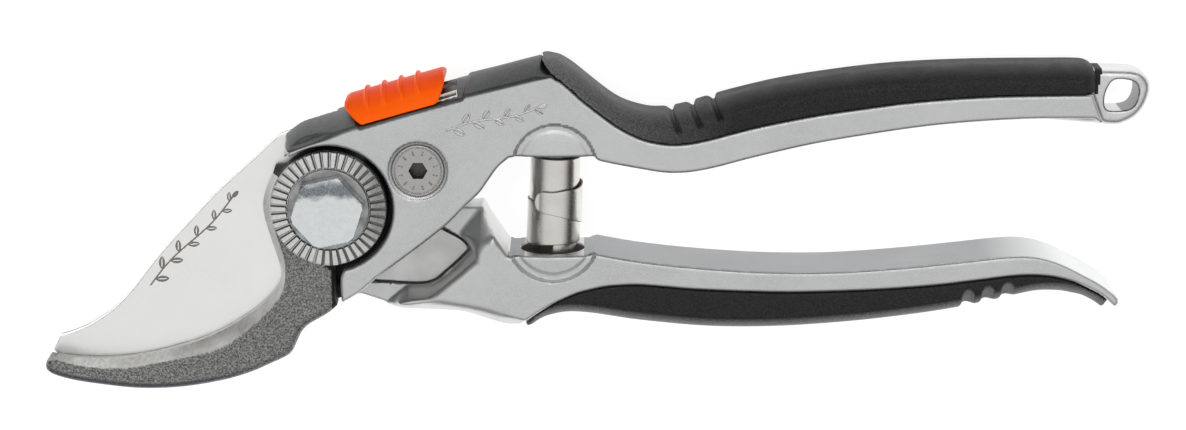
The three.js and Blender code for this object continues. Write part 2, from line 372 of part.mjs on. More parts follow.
// ---------------------------------------------------------------- return spring, a strip wound as a double cone
const spring = node('volute_spring', revolve([[3.7, 0.3], [R_SPRING, 0.3], [R_SPRING, 9.2], [5.55, 9.6], [5.55, 18.0], [R_SPRING - 0.2, 18.4], [R_SPRING - 0.3, springLen - 0.3], [3.7, springLen - 0.3]], 28), 0xb9b2a8, 0.25, 0.95, upperArm, [SPRING_A[0], SPRING_A[1], MID]);
spring.quaternion.setFromRotationMatrix(new THREE.Matrix4().makeBasis(new THREE.Vector3(sa[1], -sa[0], 0), new THREE.Vector3(0, 0, -1), new THREE.Vector3(...sa)));

// ---------------------------------------------------------------- safety lock
{
  // cross-section across the ridge: Z against height over the ridge
  const alongS = (section, s0, s1) => place(loft([[s0, section], [s1, section]]), [0, 0, 0], [0, 0, 1], [0, 1, 0], [1, 0, 0]);
  const outer = [[0.25, -2.35], [0.4, -1.5], [1.7, 0.2], [4.0, 1.5], [9.0, 2.3], [14.0, 1.5], [16.3, 0.2], [17.6, -1.5], [17.75, -2.35]];
  const inner = [[17.2, -2.3], [14.3, -0.4], [9.0, 0.45], [3.7, -0.4], [0.8, -2.3]];
  let body = alongS([...outer, ...inner], -2, 24);
  for (const s0 of [4.2, 8.6, 13.0, 17.4]) body = body.add(alongS([[1.6, -0.1], [4.2, 1.85], [9.0, 2.8], [13.8, 1.85], [16.4, -0.1], [14.0, 0.9], [9.0, 1.6], [4.0, 0.9]], s0 - 0.5, s0 + 0.5));
  // the foot is shorter than the top at both ends
  body = body.intersect(prism([[3.1, -4], [-0.3, 1.6], [-0.1, 2.2], [1.2, 4], [20.8, 4], [20.9, 1.8], [18.3, -4]], -1, 19));
  // clips in the side slots and the keel in the centre slot
  body = body.add(boxS(4.2, 18.6, -1.4, -0.2, 15.2, 16.4));
  body = body.add(boxS(4.2, 18.6, -1.4, -0.2, 1.6, 2.8));
  body = body.add(boxS(5.0, 18.2, -1.0, 1.2, 5.4, 12.6));
  node('lock_slider', body, 0xff5f19, 0.3, 0.0, lockGroup);
  // steel strip on the floor of the track, the leaf that clicks the slider, and the bolt below the slider
  node('lock_track_strip', boxS(19.4, 25.2, -1.3, -1.0, 5.3, 12.7), 0xa8abad, 0.35, 0.9, ridgeGroup);
  node('detent_leaf', prism([[6.0, -3.9], [12.5, -3.9], [12.5, -3.6], [9.3, -2.9], [6.0, -3.6]], 7.4, 10.6), 0x9c9fa1, 0.35, 0.9, ridgeGroup);
  node('lock_bolt', boxS(13.2, 18.0, -2.6, -1.3, 7.6, 10.4).add(boxS(13.2, 14.6, -3.2, -1.3, 7.6, 10.4)), 0x85888b, 0.35, 0.9, lockGroup);
}

export default group;
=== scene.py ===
"""Bypass pruner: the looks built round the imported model. Shape numbers are millimetres in the part's own frame."""
import bpy
import math
import numpy as np
from mathutils import Vector, Matrix


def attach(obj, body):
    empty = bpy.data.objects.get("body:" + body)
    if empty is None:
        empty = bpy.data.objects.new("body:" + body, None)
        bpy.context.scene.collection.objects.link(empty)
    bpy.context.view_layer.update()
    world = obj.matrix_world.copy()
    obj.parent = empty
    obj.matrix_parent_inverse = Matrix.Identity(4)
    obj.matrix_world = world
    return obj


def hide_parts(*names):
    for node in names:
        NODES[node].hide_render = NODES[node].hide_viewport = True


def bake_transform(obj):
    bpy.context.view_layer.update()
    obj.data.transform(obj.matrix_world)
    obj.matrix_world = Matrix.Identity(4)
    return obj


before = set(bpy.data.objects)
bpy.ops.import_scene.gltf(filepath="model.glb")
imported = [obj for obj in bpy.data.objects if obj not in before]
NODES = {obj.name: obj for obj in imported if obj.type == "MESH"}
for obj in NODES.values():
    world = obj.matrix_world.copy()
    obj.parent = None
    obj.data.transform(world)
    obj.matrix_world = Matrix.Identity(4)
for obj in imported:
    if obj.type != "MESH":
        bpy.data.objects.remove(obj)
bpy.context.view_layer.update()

# ------------------------------------------------------------------ sizes shared with the solid model, mm
T, MID = 18.0, 9.0
Z_ARM, Z_BLADE0, Z_HOOK0, Z_HOOK1, Z_BOSS, Z_TAIL, Z_LAYER = 9.5, 6.6, 9.8, 15.2, 16.4, 12.5, 12.9
R_SWEEP, R_CUT, R_BOSS, R_EYE, R_BOLT, R_BUSH = 17.3, 12.75, 11.55, 13.3, 4.0, 5.0
LOCK_DIR = math.radians(16.0)
SCREW = (17.8, 7.75)
SPRING_A, SPRING_B = (44.15, -12.1), (44.95, 12.8)
R_SPRING, R_CUP = 5.25, 6.3

# ------------------------------------------------------------------ outlines, X and Y
U_RIDGE = [(-8.85, 13.4), (-5.6, 15.9), (-1.9, 17.2), (3.2, 18.95), (6.3, 19.9), (13.6, 21.95), (21.0, 23.9), (27.2, 25.5), (36.0, 28.1), (42.3, 29.75)]
U_CREASE = [(-7.9, 11.4), (-4.7, 12.66), (-1.55, 13.83), (3.9, 15.89), (6.96, 16.87), (14.47, 19.17), (21.86, 21.27), (27.95, 22.94), (36.89, 25.15), (43.9, 26.9)]
U_BOUND = [(44.2, 27.0), (44.9, 26.4), (47.5, 24.3), (50.0, 22.0), (53.5, 19.2), (56.9, 16.7), (60.3, 14.8), (63.3, 13.7), (67.1, 13.05), (70.9, 13.2), (75.2, 14.05), (79.4, 15.2), (86.2, 16.9), (97.2, 19.05), (105.6, 20.3), (113.8, 21.4), (122.6, 22.2), (131.6, 22.7), (141.0, 22.9), (151.0, 22.95)]
U_GRIP = [(42.4, 30.0), (44.4, 29.9), (46.0, 29.5), (48.5, 28.0), (52.1, 25.1), (55.7, 22.25), (58.4, 20.6), (62.0, 19.4), (65.0, 19.0), (69.4, 19.5), (74.8, 21.1), (80.1, 22.6), (88.4, 24.6), (97.7, 26.2), (110.8, 27.8), (125.8, 28.6), (142.5, 28.8), (149.6, 28.7), (151.4, 28.0), (152.0, 26.6)]
U_UNDER = [(152.6, 17.0), (150.8, 18.2), (140.0, 18.2), (132.2, 17.9), (123.9, 17.3), (116.1, 16.45), (104.0, 14.6), (94.6, 12.9), (83.2, 10.2), (76.9, 8.5), (73.4, 7.75), (70.4, 7.35), (67.3, 7.3), (64.5, 7.6), (53.6, 9.7), (52.6, 10.4)]
LOOP_OUT = [(138.6, 18.9), (139.6, 17.9), (142.0, 17.15), (146.0, 16.75), (151.6, 16.35), (155.8, 15.95), (157.5, 16.4), (159.5, 17.5), (160.9, 19.0), (161.9, 21.0), (162.4, 23.2), (162.1, 24.8), (161.2, 26.0), (159.8, 26.8), (157.6, 27.1), (154.2, 27.2), (150.4, 27.2), (149.0, 26.6), (148.4, 23.4), (146.6, 21.2), (139.2, 20.4)]
LOOP_IN = [(153.3, 20.2), (153.9, 19.1), (155.5, 18.9), (157.8, 19.1), (159.0, 19.7), (159.75, 21.1), (160.0, 22.9), (159.6, 24.3), (158.4, 25.0), (156.6, 25.3), (155.2, 25.2), (154.3, 24.5), (153.4, 22.3)]
L_FOOT = [(11.0, -21.1), (15.1, -17.6), (19.8, -17.3), (22.9, -15.5), (25.7, -12.9), (28.2, -9.9), (25.9, -6.8), (30.2, -1.4)]
L_TOP = [(13.4, -19.5), (15.8, -18.9), (19.6, -18.2), (22.8, -15.7), (25.8, -13.3), (28.8, -10.8), (29.3, -8.7), (32.6, -5.4)]
L_INNER = [(35.5, -9.6), (51.4, -9.5), (52.4, -8.95), (60.0, -10.35), (66.5, -11.2), (72.9, -11.85), (79.4, -12.35), (85.8, -12.7), (93.4, -12.85), (100.2, -12.75), (108.1, -12.3), (117.4, -11.5), (126.8, -10.5), (133.0, -9.8), (137.4, -9.55), (140.8, -9.85), (145.2, -11.15), (150.3, -13.7), (153.0, -15.2), (155.3, -16.9), (156.5, -18.0), (156.9, -18.9), (156.4, -19.7)]
L_BOUND = [(38.8, -23.0), (40.2, -22.05), (42.0, -20.8), (44.4, -19.4), (46.95, -18.2), (49.3, -17.2), (51.9, -16.5), (54.1, -16.0), (56.5, -15.7), (61.2, -15.5), (66.6, -15.9), (72.6, -16.4), (81.7, -16.8), (90.6, -17.0), (100.4, -16.8), (109.6, -16.4), (120.0, -15.6), (129.1, -14.5), (135.0, -13.75), (139.0, -13.5), (143.4, -13.8), (147.0, -14.6), (149.4, -15.5), (153.6, -17.7), (155.9, -19.8)]
L_GRIP = [(38.4, -25.6), (40.0, -25.3), (41.9, -24.05), (43.8, -23.2), (47.3, -22.55), (51.9, -22.8), (61.2, -24.2), (76.3, -25.6), (90.7, -25.85), (104.0, -25.0), (117.7, -23.35), (125.3, -22.1), (132.3, -20.6), (137.3, -19.4), (141.1, -18.65), (145.3, -18.65), (147.8, -19.1), (149.5, -19.5), (151.9, -20.7), (153.9, -22.2), (154.7, -22.1), (155.7, -20.7)]
L_BELLY = [(13.9, -22.0), (17.1, -22.1), (22.5, -22.4), (26.5, -22.9), (33.4, -25.1), (35.4, -25.5), (38.1, -25.4)]
L_BELLY_TOP = [(15.5, -19.6), (19.0, -19.2), (24.6, -19.9), (30.0, -20.9), (33.4, -21.8), (35.6, -22.1), (38.6, -22.9)]
HOOK_IN = [(-56.8, -31.2), (-55.9, -31.45), (-51.2, -32.0), (-46.1, -32.15), (-40.9, -31.8), (-35.7, -30.9), (-31.5, -29.8), (-27.0, -28.4), (-22.2, -26.3), (-17.5, -23.45), (-14.6, -21.3), (-11.9, -18.5), (-10.5, -16.2), (-10.15, -14.1), (-10.8, -11.3), (-12.1, -7.1), (-13.15, -3.4), (-13.5, -0.5), (-13.2, 1.5), (-12.5, 3.6), (-11.5, 5.6), (-10.9, 7.5)]
BLADE_SPINE = [(-56.7, -30.9), (-55.3, -28.2), (-53.05, -27.5), (-50.8, -26.6), (-48.7, -25.55), (-45.6, -23.5), (-43.1, -21.4), (-40.4, -18.5), (-34.5, -11.0), (-27.0, -2.8), (-22.6, 1.85), (-14.4, 9.3), (-10.4, 13.0), (-8.8, 13.7)]
BLADE_HEEL = [(-4.6, 14.9), (0.2, 14.2), (5.2, 12.4), (9.5, 9.4), (12.3, 5.4), (13.4, 1.5), (18.5, -3.6), (22.2, -6.0), (26.0, -8.2), (27.0, -9.2), (27.3, -10.0), (24.9, -12.4), (22.1, -14.9), (20.8, -16.0), (19.4, -16.6), (17.4, -16.85), (15.1, -16.8), (8.9, -16.4), (1.0, -15.6)]
BLADE_EDGE = [(-6.6, -16.6), (-9.3, -20.4), (-13.2, -24.0), (-17.0, -26.6), (-22.0, -29.2), (-27.0, -31.2), (-31.5, -32.4), (-36.0, -33.3), (-41.0, -34.0), (-46.0, -34.2), (-51.0, -33.9), (-55.0, -32.9)]
HOOK_OUT = [(0.8, -14.6), (0.75, -18.3), (1.2, -20.5), (-0.7, -22.15), (-4.3, -24.3), (-5.9, -25.75), (-7.0, -27.9), (-7.9, -29.8), (-9.0, -30.95), (-12.6, -32.7), (-16.2, -34.3), (-21.7, -36.0), (-30.2, -37.45), (-38.9, -37.75), (-48.4, -36.7), (-52.8, -35.9), (-56.3, -34.8), (-57.5, -33.9), (-57.7, -33.0), (-57.35, -31.9)]
U_DIAG = [(35.8, 10.4), (33.6, 8.45), (31.8, 5.95), (30.0, 3.4), (27.25, 0.75), (24.5, -2.1), (22.8, -3.7), (16.8, -8.45), (9.8, -13.7), (5.9, -17.0), (2.3, -19.2), (2.2, -14.2), (2.8, -12.5)]


# ------------------------------------------------------------------ outlines: smoothing and distance fields
def arc(x, y, r, d0, d1, n):
    return [(x + r * math.cos(math.radians(d0 + (d1 - d0) * i / (n - 1))), y + r * math.sin(math.radians(d0 + (d1 - d0) * i / (n - 1)))) for i in range(n)]


def curve(pts, closed=True, step=0.6, corner=26.0):
    """Smooth line through the points; points where it turns sharply stay corners."""
    p = np.asarray(pts, float)
    n = len(p)
    seg = n if closed else n - 1
    d = [p[(i + 1) % n] - p[i] for i in range(seg)]
    L = [max(1e-6, float(np.hypot(*v))) for v in d]
    tan = []
    for i in range(n):
        if not closed and i in (0, n - 1):
            tan.append(None)
            continue
        a, b = d[i - 1], d[i % seg]
        la, lb = L[i - 1], L[i % seg]
        ang = abs(math.degrees(math.atan2(a[0] * b[1] - a[1] * b[0], a[0] * b[0] + a[1] * b[1])))
        tan.append(None if ang > corner else (a + b) / (la + lb))
    out = []
    for i in range(seg):
        k = (i + 1) % n
        m = max(1, int(math.ceil(L[i] / step)))
        t0 = tan[i] if tan[i] is not None else d[i] / L[i]
        t1 = tan[k] if tan[k] is not None else d[i] / L[i]
        for j in range(m):
            s = j / m
            h00, h10, h01, h11 = 2 * s**3 - 3 * s**2 + 1, s**3 - 2 * s**2 + s, -2 * s**3 + 3 * s**2, s**3 - s**2
            out.append(h00 * p[i] + h10 * L[i] * t0 + h01 * p[k] + h11 * L[i] * t1)
    if not closed:
        out.append(p[-1])
    return np.array(out)


def resample(line, n):
    p = np.asarray(line, float)
    s = np.concatenate([[0], np.cumsum(np.hypot(*np.diff(p, axis=0).T))])
    t = np.linspace(0, s[-1], n)
    return np.stack([np.interp(t, s, p[:, 0]), np.interp(t, s, p[:, 1])], 1)


class Field:
    """Signed distance to a closed outline, negative inside, read from a fine grid."""

    def __init__(self, poly, h=0.2, band=5.0, blur=0.0, pad=4.0):
        p = np.asarray(poly, float)
        lo, hi = p.min(0) - pad, p.max(0) + pad
        nx, ny = int((hi[0] - lo[0]) / h) + 2, int((hi[1] - lo[1]) / h) + 2
        D2 = np.full((nx, ny), band * band, np.float32)
        flip = np.zeros((nx + 1, ny), bool)
        gx, gy = lo[0] + h * np.arange(nx), lo[1] + h * np.arange(ny)
        q = np.roll(p, -1, 0)
        for (ax, ay), (bx, by) in zip(p, q):
            i0, i1 = max(0, int((min(ax, bx) - band - lo[0]) / h)), min(nx, int((max(ax, bx) + band - lo[0]) / h) + 2)
            j0, j1 = max(0, int((min(ay, by) - band - lo[1]) / h)), min(ny, int((max(ay, by) + band - lo[1]) / h) + 2)
            X, Y = gx[i0:i1, None] - ax, gy[None, j0:j1] - ay
            dx, dy = bx - ax, by - ay
            l2 = dx * dx + dy * dy
            if l2 > 1e-12:
                t = np.clip((X * dx + Y * dy) / l2, 0, 1)
                D2[i0:i1, j0:j1] = np.minimum(D2[i0:i1, j0:j1], (X - t * dx) ** 2 + (Y - t * dy) ** 2)
            if ay != by:
                r0, r1 = (ay, by) if ay < by else (by, ay)
                rows = np.nonzero((gy >= r0) & (gy < r1))[0]
                if len(rows):
                    xc = ax + (gy[rows] - ay) / (by - ay) * (bx - ax)
                    col = np.clip(np.ceil((xc - lo[0]) / h).astype(int), 0, nx)
                    np.logical_xor.at(flip, (col, rows), True)
        inside = np.logical_xor.accumulate(flip[:nx], axis=0)
        D = np.sqrt(D2) * np.where(inside, -1, 1)
        if blur > 0:
            r = int(3 * blur / h) + 1
            k = np.exp(-0.5 * (np.arange(-r, r + 1) * h / blur) ** 2)
            k /= k.sum()
            P = np.pad(D, r, mode="edge")
            P = sum(k[a] * P[a:a + nx, :] for a in range(2 * r + 1))
            D = sum(k[a] * P[:, a:a + ny] for a in range(2 * r + 1))
        self.D, self.lo, self.h, self.nx, self.ny = D.astype(np.float32), lo, h, nx, ny

    def __call__(self, x, y):
        u = np.clip((x - self.lo[0]) / self.h, 0, self.nx - 1.001)
        v = np.clip((y - self.lo[1]) / self.h, 0, self.ny - 1.001)
        i, j = u.astype(np.int32), v.astype(np.int32)
        fu, fv = u - i, v - j
        D = self.D
        return (D[i, j] * (1 - fu) + D[i + 1, j] * fu) * (1 - fv) + (D[i, j + 1] * (1 - fu) + D[i + 1, j + 1] * fu) * fv


# ------------------------------------------------------------------ shapes as functions, negative inside
def rint(a, b, r):
    """Both a and b, with the edge between them rounded to r."""
    u, v = np.maximum(a + r, 0), np.maximum(b + r, 0)
    return np.sqrt(u * u + v * v) + np.minimum(np.maximum(a + r, b + r), 0) - r


def radd(a, b, r):
    """a or b, with a fillet r where they meet."""
    return -rint(-a, -b, r)


def rcut(a, b, r):
    """a without b, with the rim rounded to r."""
    return rint(a, -b, r)


def smooth01(t):
    t = np.clip(t, 0, 1)
    return t * t * (3 - 2 * t)


def ramp(v, a, b):
    return np.clip((v - a) / (b - a), 0, 1)


def cyl(x, y, cx, cy, r):
    return np.hypot(x - cx, y - cy) - r


def hexd(x, y, cx, cy, apothem, deg):
    """Distance to a hexagon with a corner at deg."""
    out = None
    for k in range(6):
        a = math.radians(deg + 30 + 60 * k)
        d = (x - cx) * math.cos(a) + (y - cy) * math.sin(a) - apothem
        out = d if out is None else np.maximum(out, d)
    return out


# ------------------------------------------------------------------ from a function to a mesh
CORN = [(0, 0, 0), (1, 0, 0), (0, 1, 0), (1, 1, 0), (0, 0, 1), (1, 0, 1), (0, 1, 1), (1, 1, 1)]
EDGE = [(0, 1), (2, 3), (4, 5), (6, 7), (0, 2), (1, 3), (4, 6), (5, 7), (0, 4), (1, 5), (2, 6), (3, 7)]


def gradient(f, P, e):
    g = np.empty_like(P)
    for k in range(3):
        d = np.zeros(3)
        d[k] = e
        A, B = P + d, P - d
        g[:, k] = (f(A[:, 0], A[:, 1], A[:, 2]) - f(B[:, 0], B[:, 1], B[:, 2])) / (2 * e)
    return g


def surface(f, lo, hi, h, steps=3, eps=None):
    """Vertices, quads and normals of the surface f = 0 inside the box, in mm."""
    lo, hi = np.asarray(lo, float) - 2.2 * h, np.asarray(hi, float) + 2.2 * h
    n = [int(math.ceil((hi[k] - lo[k]) / h)) + 1 for k in range(3)]
    A = [lo[k] + h * np.arange(n[k]) for k in range(3)]
    V = f(A[0][:, None, None], A[1][None, :, None], A[2][None, None, :])
    V = np.ascontiguousarray(np.broadcast_to(V, n), np.float32)
    S = V < 0
    c = np.zeros([k - 1 for k in n], np.uint8)
    for o in CORN:
        c += S[o[0]:n[0] - 1 + o[0], o[1]:n[1] - 1 + o[1], o[2]:n[2] - 1 + o[2]]
    I, J, K = np.nonzero((c > 0) & (c < 8))
    idx = np.full(c.shape, -1, np.int32)
    idx[I, J, K] = np.arange(len(I))
    cv = np.stack([V[I + o[0], J + o[1], K + o[2]] for o in CORN], 1).astype(float)
    acc, cnt = np.zeros((len(I), 3)), np.zeros(len(I))
    for a, b in EDGE:
        va, vb = cv[:, a], cv[:, b]
        m = (va < 0) != (vb < 0)
        t = np.where(m, va / np.where(m, va - vb, 1), 0)
        oa, ob = np.array(CORN[a], float), np.array(CORN[b], float)
        acc += np.where(m[:, None], oa + t[:, None] * (ob - oa), 0)
        cnt += m
    P = lo + h * (np.stack([I, J, K], 1) + acc / cnt[:, None])
    quads = []
    for ax in range(3):
        b, d = (ax + 1) % 3, (ax + 2) % 3
        s0, s1 = [slice(None)] * 3, [slice(None)] * 3
        s0[ax], s1[ax] = slice(0, n[ax] - 1), slice(1, n[ax])
        X = S[tuple(s0)] != S[tuple(s1)]
        e = np.stack(np.nonzero(X), 1)
        e = e[(e[:, b] > 0) & (e[:, d] > 0) & (e[:, b] < n[b] - 1) & (e[:, d] < n[d] - 1)]
        up = S[tuple(s0)][tuple(e.T)]
        q = []
        for ob, od in ((-1, -1), (0, -1), (0, 0), (-1, 0)):
            g = e.copy()
            g[:, b] += ob
            g[:, d] += od
            q.append(idx[g[:, 0], g[:, 1], g[:, 2]])
        q = np.stack(q, 1)
        q[~up] = q[~up][:, ::-1]
        quads.append(q)
    Q = np.concatenate(quads)
    eps = eps or 0.3 * h
    for _ in range(steps):
        v = f(P[:, 0], P[:, 1], P[:, 2])
        g = gradient(f, P, eps)
        m = np.maximum((g * g).sum(1), 0.04)
        s = (v / m)[:, None] * g
        l = np.maximum(np.linalg.norm(s, axis=1), 1e-9)
        P = P - s * np.minimum(1, 0.5 * h / l)[:, None]
    N = gradient(f, P, eps)
    N /= np.maximum(np.linalg.norm(N, axis=1), 1e-9)[:, None]
    return P, Q, N


def mesh_object(name, P, Q, N=None, smooth=True):
    """Object from vertices in mm, faces, and normals if given."""
    me = bpy.data.meshes.new(name)
    P = np.asarray(P, float) / 1000
    Q = np.asarray(Q, np.int64)
    k = Q.shape[1]
    me.vertices.add(len(P))
    me.vertices.foreach_set("co", P.astype(np.float32).ravel())
    me.loops.add(Q.size)
    me.loops.foreach_set("vertex_index", Q.ravel().astype(np.int32))
    me.polygons.add(len(Q))
    me.polygons.foreach_set("loop_start", np.arange(0, Q.size, k, dtype=np.int32))
    me.update(calc_edges=True)
    me.validate()
    me.polygons.foreach_set("use_smooth", np.full(len(me.polygons), smooth))
    if N is not None:
        me.normals_split_custom_set_from_vertices([tuple(v) for v in N])
    ob = bpy.data.objects.new(name, me)
    bpy.context.scene.collection.objects.link(ob)
    return ob


GEO = {}


def build(name, f, lo, hi, h, steps=3, eps=None):
    P, Q, N = surface(f, lo, hi, h, steps, eps)
    GEO[name] = (P[Q].mean(1), N[Q].mean(1))
    return mesh_object(name, P, Q, N)



# ------------------------------------------------------------------ pieces
PIECES = {}


def keep(ob, body, slot, *nodes):
    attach(ob, body)
    if nodes:
        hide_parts(*nodes)
    PIECES[ob.name] = ob
    return ob


TX, TY = math.cos(LOCK_DIR), math.sin(LOCK_DIR)
AX = np.array(SPRING_B) - np.array(SPRING_A)
SLEN = float(np.hypot(*AX))
AX = AX / SLEN


def ridge_xy(x, y):
    return (x - 3.2) * TX + (y - 18.95) * TY, -(x - 3.2) * TY + (y - 18.95) * TX


def axis_t(x, y):
    return (x - SPRING_A[0]) * AX[0] + (y - SPRING_A[1]) * AX[1]


def axis_r(x, y, z):
    c = (x - SPRING_A[0]) * AX[1] - (y - SPRING_A[1]) * AX[0]
    return np.sqrt(c * c + (z - MID) ** 2)


def dome(x, y, cx, cy, r0, r1, depth, rise, bend=0.4):
    """Depth below the face of a round dome and the groove round it."""
    r = np.hypot(x - cx, y - cy)
    inner = smooth01((r0 + 0.3 - r) / 0.75) * (1 - bend * (r / r0) ** 2)
    return depth * smooth01((r1 + 0.1 - r) / 0.6) - rise * inner


# ---- upper handle
U_CUT = arc(0, 0, R_CUT, -72, 126, 40)
u_outline = lambda top, cut: top + U_BOUND[:-1] + [(150.4, 23.0)] + U_UNDER + U_DIAG + cut
F_umid = Field(curve(u_outline([(-8.75, 13.75), (-5.6, 16.1), (-1.9, 17.4)] + U_RIDGE[3:], arc(0, 0, R_CUT, -72, 137, 42))), blur=0.12)
F_uface = Field(curve(u_outline([(-7.9, 11.6)] + U_CREASE[1:], U_CUT)), blur=0.18)
ub, uo = resample(U_BOUND[2:], 30), resample(U_GRIP[3:], 30)
F_tongue_u = Field(np.concatenate([(ub + (uo - ub) * -0.25)[1:29], [(148.8, 25.6)], (ub + (uo - ub) * 0.52)[1:29][::-1]]), band=2)
F_loop_out, F_loop_in = Field(curve(LOOP_OUT, corner=50), blur=0.2), Field(curve(LOOP_IN, corner=60), blur=0.25)
F_under = Field([(-30, 0), (-30, 30), (1.5, 30), (1.5, 15), (10, 5), (15, -0.4), (24.0, 0.0), (28.5, 1.3), (31.2, 5.1), (45, 5.1), (45, -40), (-30, -40)], band=2)
F_hroom = Field([(-30, -40), (-30, 8.6)] + arc(0, 0, R_CUT + 0.1, 138, 72, 24) + [(13.2, 14.2)] + arc(SCREW[0], SCREW[1], 6.6, 112, -46, 12) + [(19.0, -8.0), (19.0, -40)], band=2)


def casting_u(x, y, z):
    u = np.abs(z - MID)
    t = (u / 9.0) ** 2
    a = F_umid(x, y)
    s, hh = ridge_xy(x, y)
    near = smooth01((hh + 5.0) / 1.5) * smooth01((46.0 - s) / 2.0)
    low = 0.45 * smooth01((s - 1.8) / 0.8) * smooth01((26.4 - 2.5 * u / 9.0 - s) / 0.5)
    d = a + (F_uface(x, y) - a) * t + near * (low + 0.36 * (1 - t) * smooth01((s - 24) / 10.0))
    g = dome(x, y, 44.7, 8.8, 6.9, 8.35, 1.05, 0.98, 0.8) + 0.32 * smooth01((6.15 - np.hypot(x - SCREW[0], y - SCREW[1])) / 0.55)
    return rint(d, u - (9.0 - g), 0.75)


def f_upper(x, y, z):
    u = np.abs(z - MID)
    f = casting_u(x, y, z)
    f = np.minimum(f, rint(F_tongue_u(x, y), u - 5.4, 0.5))
    loop = rint(rint(F_loop_out(x, y), u - 4.4, 1.7), -F_loop_in(x, y), 0.5)
    f = np.where(x > 137.5, radd(f, loop, 1.1), f)
    f = np.maximum(f, -F_loop_in(x, y))
    f = rcut(f, np.minimum(np.maximum(cyl(x, y, 0, 0, R_SWEEP), z - 9.7), np.maximum(F_under(x, y), z - 9.7)), 0.25)
    f = np.maximum(f, -np.maximum(F_hroom(x, y), np.abs(z - 11.25) - 1.65))
    r = np.hypot(x - SCREW[0], y - SCREW[1])
    s = np.minimum(np.minimum(np.maximum(r - 2.75, 2 - z), np.maximum((r - 2.75 - (z - 14.55) * 0.87) * 0.754, 14.55 - z)), np.maximum(r - 5.06, 17.0 - z))
    f = rcut(f, s, 0.2)
    s, hh = ridge_xy(x, y)
    track = np.maximum(np.maximum(np.abs(s - 12.5) - 10.1, -1.4 - hh), np.abs(z - 9.0) - 3.9)
    f = rcut(f, track, 0.2)
    slot = np.maximum(np.maximum(np.abs(s - 13.3) - 9.3, -4.1 - hh), np.abs(z - 9.0) - 2.0)
    deep = np.maximum(np.maximum(np.abs(s - 12.1) - 6.5, -9.4 - hh), np.abs(z - 9.0) - 1.6)
    side = np.maximum(np.maximum(np.abs(s - 13.0) - 9.7, -3.2 - hh), np.abs(z - 15.75) - 0.95)
    side2 = np.maximum(np.maximum(np.abs(s - 13.4) - 10.0, -1.75 - hh), np.maximum(1.1 - z, z - 3.1))
    f = np.maximum(f, -np.minimum(np.minimum(slot, deep), np.minimum(side, side2)))
    t = axis_t(x, y)
    f = rcut(f, np.maximum(axis_r(x, y, z) - R_CUP, np.abs(t - SLEN + 2.2) - 2.8), 0.35)
    return f


upper = keep(build("upper_casting", f_upper, (-9.5, -19.2, 0), (162.7, 30.2, 18), 0.37), "upper_arm", "cast_aluminium", "upper_handle")

# ---- upper grip
F_gu = Field(curve(U_BOUND + U_GRIP[:0:-1] + [(43.0, 30.1), (41.7, 29.9)], corner=40), blur=0.12)
F_guo = Field(np.concatenate([curve([(41.4, 29.7), (43.0, 30.1)] + U_GRIP[1:], closed=False), [(152.2, -10), (42.4, -10)]]), blur=0.2)
NOTCH_U = [((66.3, 21.3), (69.2, 15.6)), ((70.4, 22.2), (73.4, 16.7)), ((74.9, 22.9), (77.4, 18.1))]
NOTCH_L = [((126.7, -24.0), (127.0, -21.7)), ((130.7, -23.3), (130.9, -21.0)), ((134.6, -22.5), (134.8, -20.2))]


def notch(x, y, lines, depth, w):
    out = 0.0
    for (ax, ay), (bx, by) in lines:
        dx, dy = bx - ax, by - ay
        t = np.clip(((x - ax) * dx + (y - ay) * dy) / (dx * dx + dy * dy), 0, 1)
        d = np.hypot(x - ax - t * dx, y - ay - t * dy)
        out = np.maximum(out, depth * (1 - 0.45 * t) * np.exp(-(d / (w * (1.15 - 0.5 * t))) ** 2))
    return out


def notch_l(x, y, z):
    y = y - 2.6 * ((z - MID) / 7.0) ** 2
    d = 1e3
    for (ax, ay), (bx, by) in NOTCH_L:
        dx, dy = bx - ax, by - ay
        t = np.clip(((x - ax) * dx + (y - ay) * dy) / (dx * dx + dy * dy), -1.0, 1.0)
        d = np.minimum(d, np.hypot(x - ax - t * dx, y - ay - t * dy) - 1.08)
    return d


def f_grip_u(x, y, z):
    u = np.abs(z - MID)
    g = rint(F_gu(x, y), u - 8.85, 0.45)
    k = 6.6 / 3.3
    g = np.maximum(g, rint((F_guo(x, y) + 0.5) * k, u - 8.85, 6.6) / k)
    g = np.maximum(g, rint((x - 152.2) * 1.4, u - 8.85, 4.5) / 1.4)
    g = g + notch(x, y, NOTCH_U, 1.45, 0.66)
    g = np.maximum(g, 0.22 - casting_u(x, y, z))
    g = np.maximum(g, -np.maximum(F_tongue_u(x, y) - 0.3, u - 5.7))
    g = np.maximum(g, -np.maximum(F_loop_out(x, y) - 0.15, u - 4.55))
    return g


gripu = keep(build("upper_grip_cover", f_grip_u, (41.5, 12.5, 0), (152.9, 30.2, 18), 0.37), "upper_arm", "grip_rubber", "upper_grip")

# ---- lower handle
l_outline = lambda left, belly: belly + L_BOUND + [(156.1, -19.9)] + L_INNER[::-1] + left[::-1]
F_lmid, F_lface, F_lback = [Field(curve(l_outline(a, b), corner=34), blur=0.2) for a, b in ((L_FOOT, L_BELLY), (L_TOP, L_BELLY_TOP), (L_FOOT, L_BELLY_TOP))]
ARM = arc(0, 0, R_EYE, 2, 246, 60) + [(-1.4, -16.4), (-1.4, -19.9), (0.4, -20.6), (2.6, -19.8), (5.6, -19.3), (11.0, -21.1), (13.9, -22.0), (30.0, -22.5), (33.5, -12.0), (30.2, -1.4), (17.0, -1.3)]
F_arm = Field(curve(ARM, corner=24), blur=0.2)
lb, lo_ = resample(L_BOUND[2:], 30), resample(L_GRIP[3:], 30)
F_tongue_l = Field(np.concatenate([(lb + (lo_ - lb) * -0.22)[1:28], (lb + (lo_ - lb) * 0.52)[1:28][::-1]]), band=2)
